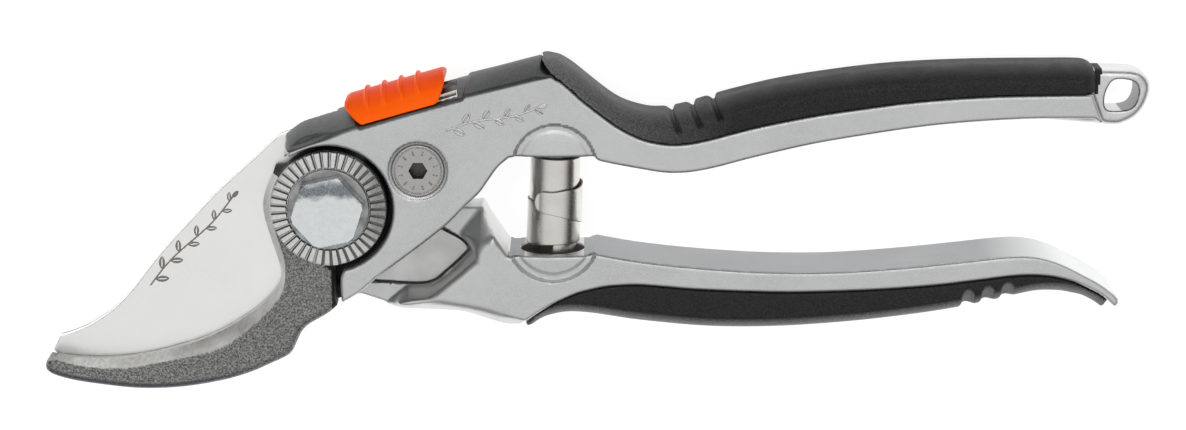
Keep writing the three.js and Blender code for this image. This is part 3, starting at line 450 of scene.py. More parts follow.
F_blade = Field(curve(BLADE_SPINE + BLADE_HEEL + BLADE_EDGE, corner=40), blur=0.12)


def casting_l(x, y, z):
    tz = ramp(z, 9.5, 18) ** 1.15
    tu = ramp(9 - z, 0, 9) ** 2
    a = F_lmid(x, y)
    d = a + (F_lface(x, y) - a) * tz + (F_lback(x, y) - a) * tu
    g = dome(x, y, 44.4, -5.6, 7.75, 9.3, 1.05, 0.8)
    r = 0.75 + 0.75 * smooth01((37 - x) / 5)
    return rint(d, np.abs(z - MID) - (9.0 - g), r)


def f_lower(x, y, z):
    u = np.abs(z - MID)
    f = casting_l(x, y, z)
    f = np.minimum(f, rint(F_tongue_l(x, y), u - 5.4, 0.5))
    arm = rint(F_arm(x, y), np.abs(z - 5.25) - 4.25, 0.6)
    f = np.where(x < 40, radd(f, arm, 0.9), f)
    f = np.maximum(f, -np.maximum(cyl(x, y, 0, 0, R_SWEEP), np.abs(z - 9.15) - 2.85))
    f = np.maximum(f, -cyl(x, y, 0, 0, R_BUSH + 0.15))
    f = np.maximum(f, -np.maximum(cyl(x, y, 0, 0, 8.1), z - 4.3))
    f = np.maximum(f, -np.maximum(F_blade(x, y) - 0.42, np.abs(z - 8.2) - 1.75))
    for p in ((18.2, -12.2), (13.4, -13.6)):
        f = np.maximum(f, -np.maximum(cyl(x, y, p[0], p[1], 1.6), 3.6 - z))
    f = rcut(f, np.maximum(axis_r(x, y, z) - R_CUP, np.abs(axis_t(x, y) - 2.7) - 3.3), 0.4)
    return f


lower = keep(build("lower_casting", f_lower, (-13.6, -26.2, 0), (159.5, 13.6, 18), 0.37), "lower_arm", "cast_aluminium", "lower_handle")

# ---- lower grip
F_gl = Field(curve(L_BOUND + L_GRIP[::-1], corner=40), blur=0.12)
F_glo = Field(np.concatenate([curve(L_GRIP, closed=False), [(160.0, -15), (160, 20), (38.4, 20)]]), blur=0.2)


def f_grip_l(x, y, z):
    u = np.abs(z - MID)
    g = rint(F_gl(x, y), u - 8.85, 0.45)
    k = 6.6 / 3.6
    g = np.maximum(g, rint((F_glo(x, y) + 0.45 + 0.5 * smooth01((x - 70) / 30)) * k, u - 8.85, 6.6) / k)
    g = rcut(g, notch_l(x, y, z), 0.7)
    g = np.maximum(g, 0.22 - casting_l(x, y, z))
    g = np.maximum(g, -np.maximum(F_tongue_l(x, y) - 0.3, u - 5.7))
    return g


gripl = keep(build("lower_grip_cover", f_grip_l, (38.2, -26.2, 0), (157.2, -13.0, 18), 0.37), "lower_arm", "grip_rubber", "lower_grip")

# ---- counter blade
HOOK_LAND = [(-56.42, -30.75), (-55.48, -31.21), (-50.42, -32.68), (-45.32, -33.10), (-40.20, -33.00), (-35.05, -32.04), (-30.92, -31.21), (-26.44, -30.25), (-21.65, -28.69), (-17.93, -26.08), (-14.64, -23.23), (-11.82, -20.40), (-9.95, -18.03), (-9.09, -15.19), (-8.93, -12.35), (-9.48, -9.10), (-10.65, -5.33), (-11.35, -2.21)]
F_hmid = Field(curve(HOOK_IN + arc(0, 0, R_BOSS, 139, -84, 40) + HOOK_OUT), blur=0.12, h=0.15)
F_htop = Field(curve([(-56.9, -31.9)] + [(x, y - 0.15) for x, y in HOOK_LAND[1:]] + arc(0, 0, R_BOSS, 176, -84, 46) + HOOK_OUT), blur=0.12, h=0.15)
F_hout = Field(np.concatenate([curve([(1.0, -13.0)] + HOOK_OUT[2:], closed=False), [(-70, -30), (-70, 20), (20, 20), (20, -13)]]), blur=0.15, h=0.15)
F_tail = Field([(0, 0), (6.0, 8.6), (13.4, 13.6)] + arc(SCREW[0], SCREW[1], 6.2, 110, -45, 14) + [(12.5, -3.2), (9.0, -6.5), (0, -8)], band=2)


def f_hook(x, y, z):
    s = ramp(z, 11.4, 15.2)
    d = F_hmid(x, y)
    d = d + (F_htop(x, y) - d) * s
    f = rint(d, np.abs(z - 12.5) - 2.7, 0.22)
    f = np.maximum(f, rint(F_hout(x, y), z - 15.2, 1.7))
    boss = rint(cyl(x, y, 0, 0, R_BOSS), np.maximum(z - 16.4, 10.5 - z), 0.45)
    f = radd(f, boss, 0.5)
    f = np.minimum(f, np.maximum(F_tail(x, y), np.abs(z - 11.15) - 1.35))
    f = np.maximum(f, -cyl(x, y, 0, 0, R_BOLT + 0.15))
    f = np.maximum(f, -cyl(x, y, SCREW[0], SCREW[1], 2.75))
    return f


P, Q, N = surface(f_hook, (-58, -38, 9.8), (24.2, 14.2, 16.4), 0.24)
hook = keep(mesh_object("hook_blade", P, Q, N), "upper_arm", "hammered_paint_steel", "counter_blade")
c = P[Q].mean(1)
nz = N[Q].mean(1)
d_mid, d_top, d_out = F_hmid(c[:, 0], c[:, 1]), F_htop(c[:, 0], c[:, 1]), F_hout(c[:, 0], c[:, 1])
# painted shade: near-black faces in the gap round the boss and on the tail behind the casting
gap = (np.hypot(c[:, 0], c[:, 1]) > 11.2) & (np.hypot(c[:, 0], c[:, 1]) < 13.2) & (c[:, 0] * 0.62 + c[:, 1] > -13.0) & (c[:, 2] < 15.9) & ((c[:, 0] > -1) | (c[:, 1] > 6))
gap |= (c[:, 0] > 0.2) & (c[:, 2] < 15.0)
land = (c[:, 2] < 15.14) & (c[:, 2] > 9.9) & (d_top > -0.12) & (np.hypot(c[:, 0], c[:, 1]) > R_BOSS - 0.2) & (d_out < -0.35) & (c[:, 0] < -6) & (c[:, 0] > -55.6)
under = c[:, 2] < 9.95
HOOK_FACES = np.where(gap, 2, np.where(land | under, 1, 0)).astype(np.int32)

# ---- cutting blade
F_bedge = Field(np.concatenate([curve([(1.0, -15.6)] + BLADE_EDGE, closed=False), [(-62, -31.5), (-62, 30), (40, 30), (40, -30), (3.5, -30)]]), blur=0.12)


def f_blade(x, y, z):
    f = rint(F_blade(x, y), np.abs(z - 8.05) - 1.45, 0.22)
    f = np.maximum(f, (F_bedge(x, y) + 4.4 * np.maximum(9.32 - z, 0) / 2.75) * 0.55)
    f = np.maximum(f, -cyl(x, y, 0, 0, R_BUSH + 0.15))
    for p in ((18.2, -12.2), (13.4, -13.6)):
        f = np.maximum(f, -np.maximum(cyl(x, y, p[0], p[1], 1.6), z - 8.5))
    return f


blade = keep(build("curved_blade", f_blade, (-57.2, -34.4, 6.6), (27.8, 15.2, 9.5), 0.27), "lower_arm", "blade_steel", "cutting_blade")

# ---- pivot hardware
rr = lambda x, y: np.hypot(x, y)


def f_bolt(x, y, z):
    r = rr(x, y)
    head = rint(hexd(x, y, 0, 0, 6.52, 12), np.abs(z - 20.0) - 1.7, 0.14)
    head = np.maximum(head, (r - 7.42 + (z - 21.42) * 1.5) * 0.55)
    f = np.minimum(head, rint(r - R_BOLT, np.abs(z - 9.5) - 9.5, 0.4))
    return f


bolt = keep(build("hex_bolt", f_bolt, (-7.6, -7.6, 0), (7.6, 7.6, 21.75), 0.17), "upper_arm", "zinc_steel", "pivot_bolt")


def f_hw(x, y, z):
    r = rr(x, y)
    return np.maximum(rint(r - 8.1, np.abs(z - 17.8) - 0.3, 0.2), 4.2 - r)


hw = keep(build("bolt_washer", f_hw, (-8.2, -8.2, 17.5), (8.2, 8.2, 18.1), 0.16), "upper_arm", "zinc_steel", "head_washer")


def toothed():
    n, per = 41, 14
    radii = [4.3, 8.22, 8.3, 8.42, 8.6, 9.4, 10.3, 11.05, 11.3, 11.45]
    th = np.arange(n * per) / (n * per) * 2 * math.pi
    ph = (np.arange(n * per) % per) / per
    tooth = np.clip((0.5 - np.abs(ph - 0.5) - 0.07) / 0.13, 0, 1)
    wob = 0.03 * np.sin(7 * th) + 0.02 * np.sin(13 * th + 1)
    rows = []
    for k, r in enumerate(radii):
        if k < 2:
            z = np.full(n * per, 17.28)
        elif k == 2:
            z = 17.28 + 0.25 * tooth
        else:
            z = 17.22 + (0.5 - 0.05 * (r - 8.4)) * tooth * (1 - 0.55 * (k == len(radii) - 1) - 0.16 * (k == len(radii) - 2)) + wob * tooth
        rows.append(np.stack([r * np.cos(th), r * np.sin(th), np.broadcast_to(z, th.shape)], 1))
    rows.append(np.stack([11.5 * np.cos(th), 11.5 * np.sin(th), np.full(len(th), 16.85)], 1))
    rows.append(np.stack([11.5 * np.cos(th), 11.5 * np.sin(th), np.full(len(th), 16.6)], 1))
    rows.append(np.stack([4.3 * np.cos(th), 4.3 * np.sin(th), np.full(len(th), 16.6)], 1))
    m = len(th)
    q = []
    for a in range(len(rows)):
        b = (a + 1) % len(rows)
        i = np.arange(m)
        j = (i + 1) % m
        q.append(np.stack([a * m + i, b * m + i, b * m + j, a * m + j], 1))
    # painted light on the teeth: groove bottoms and the flanks turned one way take painted shade, the other flanks a
    # painted highlight, swapped between the left and right halves
    ang = np.degrees(th + math.pi / len(th))
    left = (ang > 55) & (ang < 255)
    up_, dn_ = (ph > 0.03) & (ph < 0.2), (ph > 0.79) & (ph < 0.96)
    one = np.where(up_, np.where(left, 1, 2), np.where(dn_, np.where(left, 2, 1), 0))
    one = np.where((ph <= 0.03) | (ph >= 0.96), 1, one)
    global TEETH
    TEETH = np.concatenate([one if 2 <= a <= len(radii) - 1 else one * 0 for a in range(len(rows))])
    return np.concatenate(rows), np.concatenate(q)


P, Q = toothed()
teeth = keep(mesh_object("toothed_ring", P, Q, smooth=False), "upper_arm", "zinc_steel", "toothed_washer")


def f_screw(x, y, z):
    X, Y = x - SCREW[0], y - SCREW[1]
    r = np.hypot(X, Y)
    head = rint(np.maximum(r - 5.14, (r - 2.5 - (z - 14.75) * 1.02) * 0.7), z - 17.75, 0.22)
    f = np.minimum(np.maximum(head, 14.7 - z), rint(r - 2.5, np.abs(z - 9.2) - 5.8, 0.3))
    f = rcut(f, np.maximum(hexd(X, Y, 0, 0, 1.56, 0), 15.0 - z), 0.12)
    a = np.arctan2(Y, X)
    ph = (a / (2 * math.pi) * 12) % 1.0
    tick = np.maximum(np.abs(r - 3.55) - 0.4, np.abs(ph - 0.5) * 2 * math.pi * r / 12 - 0.1)
    f = np.maximum(f, -np.maximum(tick, 17.62 - z))
    f = np.maximum(f, -np.maximum(np.abs(r - 4.62) - 0.09, 17.64 - z))
    return f


P, Q, N = surface(f_screw, (SCREW[0] - 5.2, SCREW[1] - 5.2, 3.4), (SCREW[0] + 5.2, SCREW[1] + 5.2, 17.8), 0.13)
screw = keep(mesh_object("socket_screw", P, Q, N), "upper_arm", "nickel_steel", "counter_blade_screw")
c = P[Q].mean(1)
# painted shade inside the socket
SCREW_FACES = ((np.hypot(c[:, 0] - SCREW[0], c[:, 1] - SCREW[1]) < 1.85) & (c[:, 2] > 14.9) & (c[:, 2] < 17.4)).astype(np.int32)


def f_nut(x, y, z):
    r = rr(x, y)
    f = rint(hexd(x, y, 0, 0, 6.5, 10), np.abs(z - 1.55) - 1.55, 0.2)
    f = np.maximum(f, (r - 7.2 - (z - 0.35) * 1.9) * 0.46)
    return np.maximum(f, 4.1 - r)


nut = keep(build("thin_nut", f_nut, (-7.6, -7.6, 0), (7.6, 7.6, 3.1), 0.19), "upper_arm", "zinc_steel", "pivot_nut")

# ---- lock slider
SEC = [(0.25, -2.35), (0.4, -1.5), (1.7, 0.2), (4.0, 1.5), (6.5, 2.1), (9.0, 2.3), (11.5, 2.1), (14.0, 1.45), (16.3, 0.1), (17.65, -1.5), (18.15, -2.85), (17.6, -2.8), (14.3, -0.6), (9.0, 0.45), (3.7, -0.4), (0.8, -2.3)]
F_sec = Field(curve(SEC, corner=50, step=0.4), h=0.1, band=3, blur=0.1)
F_end = Field(curve([(3.6, -4), (2.7, -2.8), (1.9, -1.6), (0.8, 0.1), (0.35, 0.95), (0.5, 1.7), (1.5, 2.6), (2.6, 6), (19.6, 6), (20.2, 3.2), (20.7, 2.3), (20.95, 1.2), (20.6, 0.1), (19.2, -2.0), (18.5, -2.9), (17.4, -4)], corner=60), h=0.1, band=3, blur=0.15)
RIBS = (5.0, 8.5, 12.0, 15.5)


def f_slider(x, y, z):
    s, hh = ridge_xy(x, y)
    d = F_sec(z + 0 * s, hh + 0 * z)
    rib = 0.0
    for s0 in RIBS:
        u = s - s0
        rib = np.maximum(rib, np.where(u < 0.12, smooth01((u + 0.62) / 0.6), smooth01((0.46 - u) / 0.28)))
    run = smooth01((17.0 - z) / 0.8) * smooth01((z - 1.4) / 0.8) * smooth01((hh + 1.1) / 0.5)
    f = rint(d, F_end(s, hh), 0.55)
    f = f - 0.62 * rib * run * (F_end(s, hh) < 0.5)
    clip = np.minimum(np.maximum(np.abs(z - 15.8) - 0.6, -1.4 - hh), np.maximum(np.abs(z - 2.2) - 0.6, -1.4 - hh))
    clip = np.maximum(np.maximum(clip, hh + 0.2), np.abs(s - 11.4) - 7.2)
    keel = np.maximum(np.maximum(np.abs(s - 11.6) - 6.6, np.abs(hh - 0.1) - 1.1), np.abs(z - 9) - 3.6)
    return np.minimum(f, np.minimum(clip, keel))


sl_lo = (3.2 - 1.6, 18.95 - 3.0, 0.0)
P, Q, N = surface(f_slider, (2.0, 15.2, 0.1), (24.4, 28.4, 18.3), 0.2, eps=0.14)
slider = keep(mesh_object("slider_button", P, Q), "lock", "orange_plastic", "lock_slider")



# ---- return spring: a tapered strip, wound so that its turns slide out of each other
def spiral(radius, low, high, w, p0, p1, n, th=0.3, m=9):
    """Vertices, quads and weights of one strip; low and high are its edges along the spring axis."""
    sec = [(1, t) for t in np.linspace(0.02, 0.98, m)] + [(0.93, 0.995), (0.5, 1.0), (0.07, 0.995)] + [(0, t) for t in np.linspace(0.98, 0.02, m)] + [(0.07, 0.005), (0.5, 0.0), (0.93, 0.005)]
    P, W = [], []
    for i in range(n + 1):
        p = p0 + (p1 - p0) * i / n
        a, b, r = low(p), high(p), radius(p)
        for k, t in sec:
            q = a + (b - a) * t
            rad = r - th * (1 - k)
            s, c = math.sin(math.radians(p)), math.cos(math.radians(p))
            P.append((SPRING_A[0] + AX[0] * q + AX[1] * rad * s, SPRING_A[1] + AX[1] * q - AX[0] * rad * s, MID + rad * c))
            W.append(w(p))
    k = len(sec)
    Q = [(i * k + j, (i + 1) * k + j, (i + 1) * k + (j + 1) % k, i * k + (j + 1) % k) for i in range(n) for j in range(k)]
    for base in (0, n * k):
        for j in range(k // 2 - 1):
            a, b, c, d = base + j, base + j + 1, base + k - 2 - j, base + k - 1 - j
            Q.append((a, b, c, d) if base == 0 else (d, c, b, a))
    rim = [1 if m - 1 <= j % k <= m + 2 or j % k >= k - 4 else 0 for i in range(n) for j in range(k)] + [1] * (2 * (k // 2 - 1))
    return np.array(P), np.array(Q), np.array(W), np.array(rim)


def joined(parts):
    P, Q, W, R, o = [], [], [], [], 0
    for p, q, w, r in parts:
        P.append(p)
        Q.append(q + o)
        W.append(w)
        R.append(r)
        o += len(p)
    return np.concatenate(P), np.concatenate(Q), np.concatenate(W), np.concatenate(R)


def s01(v):
    v = min(1.0, max(0.0, v))
    return v * v * (3 - 2 * v)


def tongue(p, mid, lo_, hi_):
    e = min(1.0, max(0.0, (p + 40.0) / 15.0))
    k = math.sqrt(1 - (1 - e) ** 2)
    return mid + (lo_ - mid) * k, mid + (hi_ - mid) * k


def band_lo(p):
    return tongue(p, 12.5, 10.35 - 2.45 * s01((p + 25) / 120.0) - 1.2 * s01((p - 90) / 120.0), 14.8)[0]


def band_hi(p):
    return tongue(p, 12.5, 10.3, 14.75 + 0.5 * s01((p + 10) / 45.0) + 1.0 * s01((p - 40) / 70.0) + 1.5 * s01((p - 110) / 100.0))[1]


parts = [
    spiral(lambda p: 5.33, lambda p: 3.7 + 0.35 * math.sin(math.radians(p + 40)), lambda p: 12.6 - 0.7 * s01((p + 20) / 60.0), lambda p: 1.0, -186, 184, 120),
    spiral(lambda p: 5.0, lambda p: 11.6, lambda p: 21.35, lambda p: 0.0, -180, 188, 120),
    spiral(lambda p: 5.66 + 0.3 * s01((-31 - p) / 9.0), band_lo, band_hi, lambda p: 0.5, -40, 222, 110),
]
TURNS = 5.5
core_c = lambda p: 3.6 + 17.6 * (p / (360 * TURNS))
parts.append(spiral(lambda p: 4.72 - 0.2 * p / 360, lambda p: core_c(p) - 3.1, lambda p: core_c(p) + 3.1, lambda p: 1 - p / (360 * TURNS), 0, 360 * TURNS, 340, th=0.2))
# the band's first three steps, at the tongue end, take the painted highlight
parts[2][3][: 3 * 24] = 2
P, Q, W, RIM = joined(parts)
spring = mesh_object("strip_spring", P, Q)
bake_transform(spring)
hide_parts("volute_spring")
PIECES[spring.name] = spring


# ---- generic sprig: raised on the casting's face, printed on the blade
def leaf(x, y, cx, cy, deg, length, width):
    c, s = math.cos(math.radians(deg)), math.sin(math.radians(deg))
    u, v = (x - cx) * c + (y - cy) * s, -(x - cx) * s + (y - cy) * c
    a, b = length / 2, width / 2
    R = (a * a + b * b) / (2 * b)
    k = R - b
    return np.maximum(np.hypot(u, v + k) - R, np.hypot(u, v - k) - R)


def stem(x, y, a, b, bow, w):
    dx, dy = b[0] - a[0], b[1] - a[1]
    L = math.hypot(dx, dy)
    u = ((x - a[0]) * dx + (y - a[1]) * dy) / L
    v = -((x - a[0]) * dy - (y - a[1]) * dx) / L
    off = bow * np.sin(np.clip(u / L, 0, 1) * 2 * math.pi)
    e = np.maximum(-u, u - L)
    return np.maximum(np.abs(v - off), e) - w


def sprig(x, y, a, b, n, size, w):
    dx, dy = b[0] - a[0], b[1] - a[1]
    L, ang = math.hypot(dx, dy), math.degrees(math.atan2(dy, dx))
    d = stem(x, y, a, b, 0.16 * size, w)
    for i in range(n):
        t = (i + 0.55) / n
        side = 1 if i % 2 else -1
        off = 0.16 * size * math.sin(t * 2 * math.pi)
        px, py = a[0] + dx * t - dy / L * off, a[1] + dy * t + dx / L * off
        q = ang + side * 42
        k = size * (1.0 - 0.35 * t)
        px, py = px + math.cos(math.radians(q)) * k * 0.55, py + math.sin(math.radians(q)) * k * 0.55
        lf = leaf(x, y, px, py, q, k, k * 0.46)
        vein = leaf(x, y, px, py, q, k * 0.8, k * 0.085)
        d = np.minimum(d, np.maximum(lf, -vein))
    return np.minimum(d, leaf(x, y, b[0] + dx / L * size * 0.3, b[1] + dy / L * size * 0.3, ang, size * 0.7, size * 0.32))




def f_liner(x, y, z):
    s, hh = ridge_xy(x, y)
    u = np.abs(z - MID)
    box_ = np.maximum(np.abs(s - 13.0) - 9.7, np.abs(z - 15.75) - 0.95)
    c_ = casting_u(x, y, z)
    return np.maximum(np.maximum(np.maximum(box_ + 0.02, -box_ - 0.22), c_ - 0.1), -c_ - 1.1)


liner = keep(build("slot_liner", f_liner, (4.5, 14.5, 14.6), (27.0, 25.5, 16.8), 0.12, eps=0.06), "upper_arm", "nickel_steel", "lock_track_strip")
CA, CB = (23.6, 15.9), (41.6, 20.6)
relief = keep(build("leaf_relief", lambda x, y, z: rint(sprig(x, y, CA, CB, 9, 2.9, 0.17), np.abs(z - 18.0) - 0.27, 0.16), (22, 13.5, 17.75), (45, 23.5, 18.35), 0.12), "upper_arm", "cast_aluminium")
BA, BB = (-36.6, -17.4), (-19.8, 0.6)
mark = keep(build("leaf_mark", lambda x, y, z: rint(sprig(x, y, BA, BB, 10, 2.9, 0.17), np.abs(z - 9.5) - 0.035, 0.01), (-39.5, -20.5, 9.44), (-16, 5, 9.56), 0.1, steps=2), "lower_arm", "blade_steel")



# ------------------------------------------------------------------ materials
class Mat:
    def __init__(self, name, color, metallic, rough, **sockets):
        self.m = bpy.data.materials.new(name)
        self.m.use_nodes = True
        self.n, self.l = self.m.node_tree.nodes, self.m.node_tree.links
        self.b = self.n["Principled BSDF"]
        self.b.inputs["Base Color"].default_value = (*color, 1)
        self.b.inputs["Metallic"].default_value = metallic
        self.b.inputs["Roughness"].default_value = rough
        for k, v in sockets.items():
            self.b.inputs[k.replace("_", " ")].default_value = v
        self.co = self.n.new("ShaderNodeTexCoord").outputs["Object"]
        self.color, self.rough, self.height = color, rough, None

    def noise(self, mm, detail=2.0, rough=0.5, stretch=None, rot=0.0, distortion=0.0):
        t = self.n.new("ShaderNodeTexNoise")
        t.inputs["Scale"].default_value = 1000.0 / mm
        t.inputs["Detail"].default_value = detail
        t.inputs["Roughness"].default_value = rough
        t.inputs["Distortion"].default_value = distortion
        src = self.co
        if stretch or rot:
            mp = self.n.new("ShaderNodeMapping")
            mp.inputs["Rotation"].default_value = (0, 0, rot)
            mp2 = self.n.new("ShaderNodeMapping")
            mp2.inputs["Scale"].default_value = stretch or (1, 1, 1)
            self.l.new(src, mp.inputs["Vector"])
            self.l.new(mp.outputs[0], mp2.inputs["Vector"])
            src = mp2.outputs[0]
        self.l.new(src, t.inputs["Vector"])
        return t.outputs["Fac"]

    def cells(self, mm, feature="F1", smooth=None):
        t = self.n.new("ShaderNodeTexVoronoi")
        t.feature = feature
        t.inputs["Scale"].default_value = 1000.0 / mm
        if smooth is not None and "Smoothness" in t.inputs:
            t.inputs["Smoothness"].default_value = smooth
        self.l.new(self.co, t.inputs["Vector"])
        return t.outputs["Distance"]

    def band(self, src, a, b, lo=0.0, hi=1.0):
        r = self.n.new("ShaderNodeMapRange")
        r.inputs["From Min"].default_value, r.inputs["From Max"].default_value = a, b
        r.inputs["To Min"].default_value, r.inputs["To Max"].default_value = lo, hi
        self.l.new(src, r.inputs["Value"])
        return r.outputs["Result"]

    def math(self, op, a, b):
        t = self.n.new("ShaderNodeMath")
        t.operation = op
        for k, v in enumerate((a, b)):
            if isinstance(v, (int, float)):
                t.inputs[k].default_value = v
            else:
                self.l.new(v, t.inputs[k])
        return t.outputs[0]

    def mixcol(self, fac, a, b):
        t = self.n.new("ShaderNodeMix")
        t.data_type = "RGBA"
        self.l.new(fac, t.inputs["Factor"])
        for k, v in (("A", a), ("B", b)):
            s = [i for i in t.inputs if i.name == k and i.type == "RGBA"][0]
            if isinstance(v, tuple):
                s.default_value = (*v, 1)
            else:
                self.l.new(v, s)
        return [o for o in t.outputs if o.type == "RGBA"][0]

    def set_color(self, out):
        self.l.new(out, self.b.inputs["Base Color"])

    def set_rough(self, out):
        self.l.new(out, self.b.inputs["Roughness"])

    def bump(self, height, mm, strength=1.0):
        t = self.n.new("ShaderNodeBump")
        t.inputs["Strength"].default_value = strength
        t.inputs["Distance"].default_value = mm / 1000.0
        self.l.new(height, t.inputs["Height"])
        if self.height is not None:
            self.l.new(self.height, t.inputs["Normal"])
        self.height = t.outputs["Normal"]
        self.l.new(self.height, self.b.inputs["Normal"])


def k(c, f):
    return tuple(min(1.0, v * f) for v in c)


# bead-blasted aluminium casting
cast = Mat("cast_aluminium", (0.50, 0.51, 0.515), 1.0, 0.42)
fine, mid_, big = cast.noise(0.28, 3, 0.6), cast.noise(1.6, 3, 0.55), cast.noise(16, 3, 0.5)
cast.set_color(cast.mixcol(cast.band(fine, 0.3, 0.7), cast.mixcol(cast.band(big, 0.35, 0.65), (0.575, 0.585, 0.585), (0.665, 0.675, 0.67)), (0.73, 0.74, 0.735)))
cast.set_rough(cast.math("ADD", cast.band(mid_, 0.3, 0.7, 0.0, 0.08), cast.band(fine, 0.3, 0.7, 0.36, 0.46)))
cast.bump(fine, 0.026)
cast.bump(mid_, 0.03)

# the same blasted casting as a darker copy, which paints shade on the ridge, and the machined inner face of the lower
# handle
ridge_shade_mat = Mat("cast_ridge_painted_shade", (0.2, 0.2, 0.2), 0.85, 0.5)
r1_, r2_ = ridge_shade_mat.noise(0.28, 3, 0.6), ridge_shade_mat.noise(9, 3, 0.5)
ridge_shade_mat.set_color(ridge_shade_mat.mixcol(ridge_shade_mat.band(r1_, 0.3, 0.7), ridge_shade_mat.mixcol(ridge_shade_mat.band(r2_, 0.35, 0.65), (0.085, 0.087, 0.088), (0.125, 0.127, 0.128)), (0.18, 0.182, 0.183)))
ridge_shade_mat.set_rough(ridge_shade_mat.band(r1_, 0.3, 0.7, 0.40, 0.55))
ridge_shade_mat.bump(r1_, 0.02)
mach = Mat("cast_machined", (0.6, 0.62, 0.64), 1.0, 0.3)
m1_, m2_ = mach.noise(1.4, 4, 0.65, stretch=(0.03, 1.0, 1.6)), mach.noise(14, 3, 0.5)
mp_ = mach.n.new("ShaderNodeSeparateXYZ")
mach.l.new(mach.co, mp_.inputs[0])
# painted highlight: the machined face fades to near white towards its right end, between x 130 and 147 mm
highlight_mask = mach.math("ADD", mach.band(mp_.outputs["X"], 0.130, 0.147), mach.math("MULTIPLY", mach.math("SUBTRACT", m1_, 0.5), 0.12))
mach.set_color(mach.mixcol(mach.band(highlight_mask, 0.0, 1.0), mach.mixcol(mach.band(m1_, 0.35, 0.72), mach.mixcol(mach.band(m2_, 0.35, 0.65), (0.215, 0.227, 0.232), (0.27, 0.285, 0.29)), (0.33, 0.342, 0.346)), (0.80, 0.81, 0.81)))
mach.set_rough(mach.band(m1_, 0.3, 0.7, 0.26, 0.42))
mach.bump(m1_, 0.012)
# a lighter copy of the casting: painted highlight for faces meant to look lit (the loop's end, the neck's right wall,
# the raised sprig, tooth flanks)
lit_cast = Mat("cast_painted_highlight", (0.9, 0.9, 0.9), 1.0, 0.38)
v1_, v2_ = lit_cast.noise(0.3, 3, 0.6), lit_cast.noise(5, 3, 0.5)
lit_cast.set_color(lit_cast.mixcol(lit_cast.band(v1_, 0.3, 0.7), lit_cast.mixcol(lit_cast.band(v2_, 0.35, 0.65), (0.58, 0.585, 0.585), (0.70, 0.705, 0.70)), (0.84, 0.84, 0.835)))
lit_cast.set_rough(lit_cast.band(v1_, 0.3, 0.7, 0.32, 0.44))
lit_cast.bump(v1_, 0.015)

# a darker copy of the casting: painted shade for the walls of the loop's hole and the flat left of the lower cup
shade_cast = Mat("cast_painted_shade", (0.28, 0.285, 0.29), 1.0, 0.42)
y1_, y2_ = shade_cast.noise(0.3, 3, 0.6), shade_cast.noise(5, 3, 0.5)
shade_cast.set_color(shade_cast.mixcol(shade_cast.band(y1_, 0.3, 0.7), shade_cast.mixcol(shade_cast.band(y2_, 0.35, 0.65), (0.19, 0.195, 0.2), (0.25, 0.255, 0.26)), (0.34, 0.345, 0.35)))
shade_cast.set_rough(shade_cast.band(y1_, 0.3, 0.7, 0.36, 0.48))
shade_cast.bump(y1_, 0.015)

# the upper casting: the blasted face, and painted shade on the ridge, told apart by the way the surface faces: faces
# turned towards +Y above the ridge's crease get a darker copy of the colour, darker still from x 18 to 34 mm on
casu = Mat("cast_upper", (0.6, 0.6, 0.6), 1.0, 0.42)
a1_, a2_, a3_ = casu.noise(0.28, 3, 0.6), casu.noise(1.6, 3, 0.55), casu.noise(16, 3, 0.5)
face_ = casu.mixcol(casu.band(a1_, 0.3, 0.7), casu.mixcol(casu.band(a3_, 0.35, 0.65), (0.575, 0.585, 0.585), (0.665, 0.675, 0.67)), (0.73, 0.74, 0.735))
ridge_shade_col = casu.mixcol(casu.band(a1_, 0.3, 0.7), casu.mixcol(casu.band(a3_, 0.35, 0.65), (0.080, 0.082, 0.083), (0.115, 0.117, 0.118)), (0.165, 0.167, 0.168))
sx_ = casu.n.new("ShaderNodeSeparateXYZ")
casu.l.new(casu.co, sx_.inputs[0])
ridge_shade_col = casu.mixcol(casu.band(sx_.outputs["X"], 0.018, 0.034), ridge_shade_col, casu.mixcol(casu.band(a1_, 0.3, 0.7), (0.050, 0.051, 0.052), (0.105, 0.106, 0.107)))
tcn = casu.n.new("ShaderNodeTexCoord")
sn, sp_ = casu.n.new("ShaderNodeSeparateXYZ"), casu.n.new("ShaderNodeSeparateXYZ")
casu.l.new(tcn.outputs["Normal"], sn.inputs[0])
casu.l.new(casu.co, sp_.inputs[0])
hgt = casu.math("ADD", casu.math("MULTIPLY", casu.math("SUBTRACT", sp_.outputs["X"], 0.0032), -TY), casu.math("MULTIPLY", casu.math("SUBTRACT", sp_.outputs["Y"], 0.01895), TX))
# painted shade mask: faces turned towards +Y above the ridge's crease
ridge_shade_mask = casu.math("MULTIPLY", casu.band(sn.outputs["Y"], 0.12, 0.42), casu.band(hgt, -0.0056, -0.0048))
casu.set_color(casu.mixcol(ridge_shade_mask, face_, ridge_shade_col))
casu.set_rough(casu.math("ADD", casu.band(a2_, 0.3, 0.7, 0.0, 0.08), casu.band(a1_, 0.3, 0.7, 0.36, 0.46)))
casu.bump(a1_, 0.026)
casu.bump(a2_, 0.03)

# rubber grips, with painted sheen: lighter rubber on the left end of the upper grip; and painted floor reflection: pale
# rubber on the lower grip's faces turned down towards -Y
rub = Mat("grip_rubber", (0.03, 0.03, 0.032), 0.0, 0.55, Specular_IOR_Level=0.30, Sheen_Weight=0.03, Sheen_Roughness=0.35)
g1, g2 = rub.noise(0.32, 3, 0.65), rub.noise(3.0, 3, 0.5)
gp = rub.n.new("ShaderNodeSeparateXYZ")
rub.l.new(rub.co, gp.inputs[0])
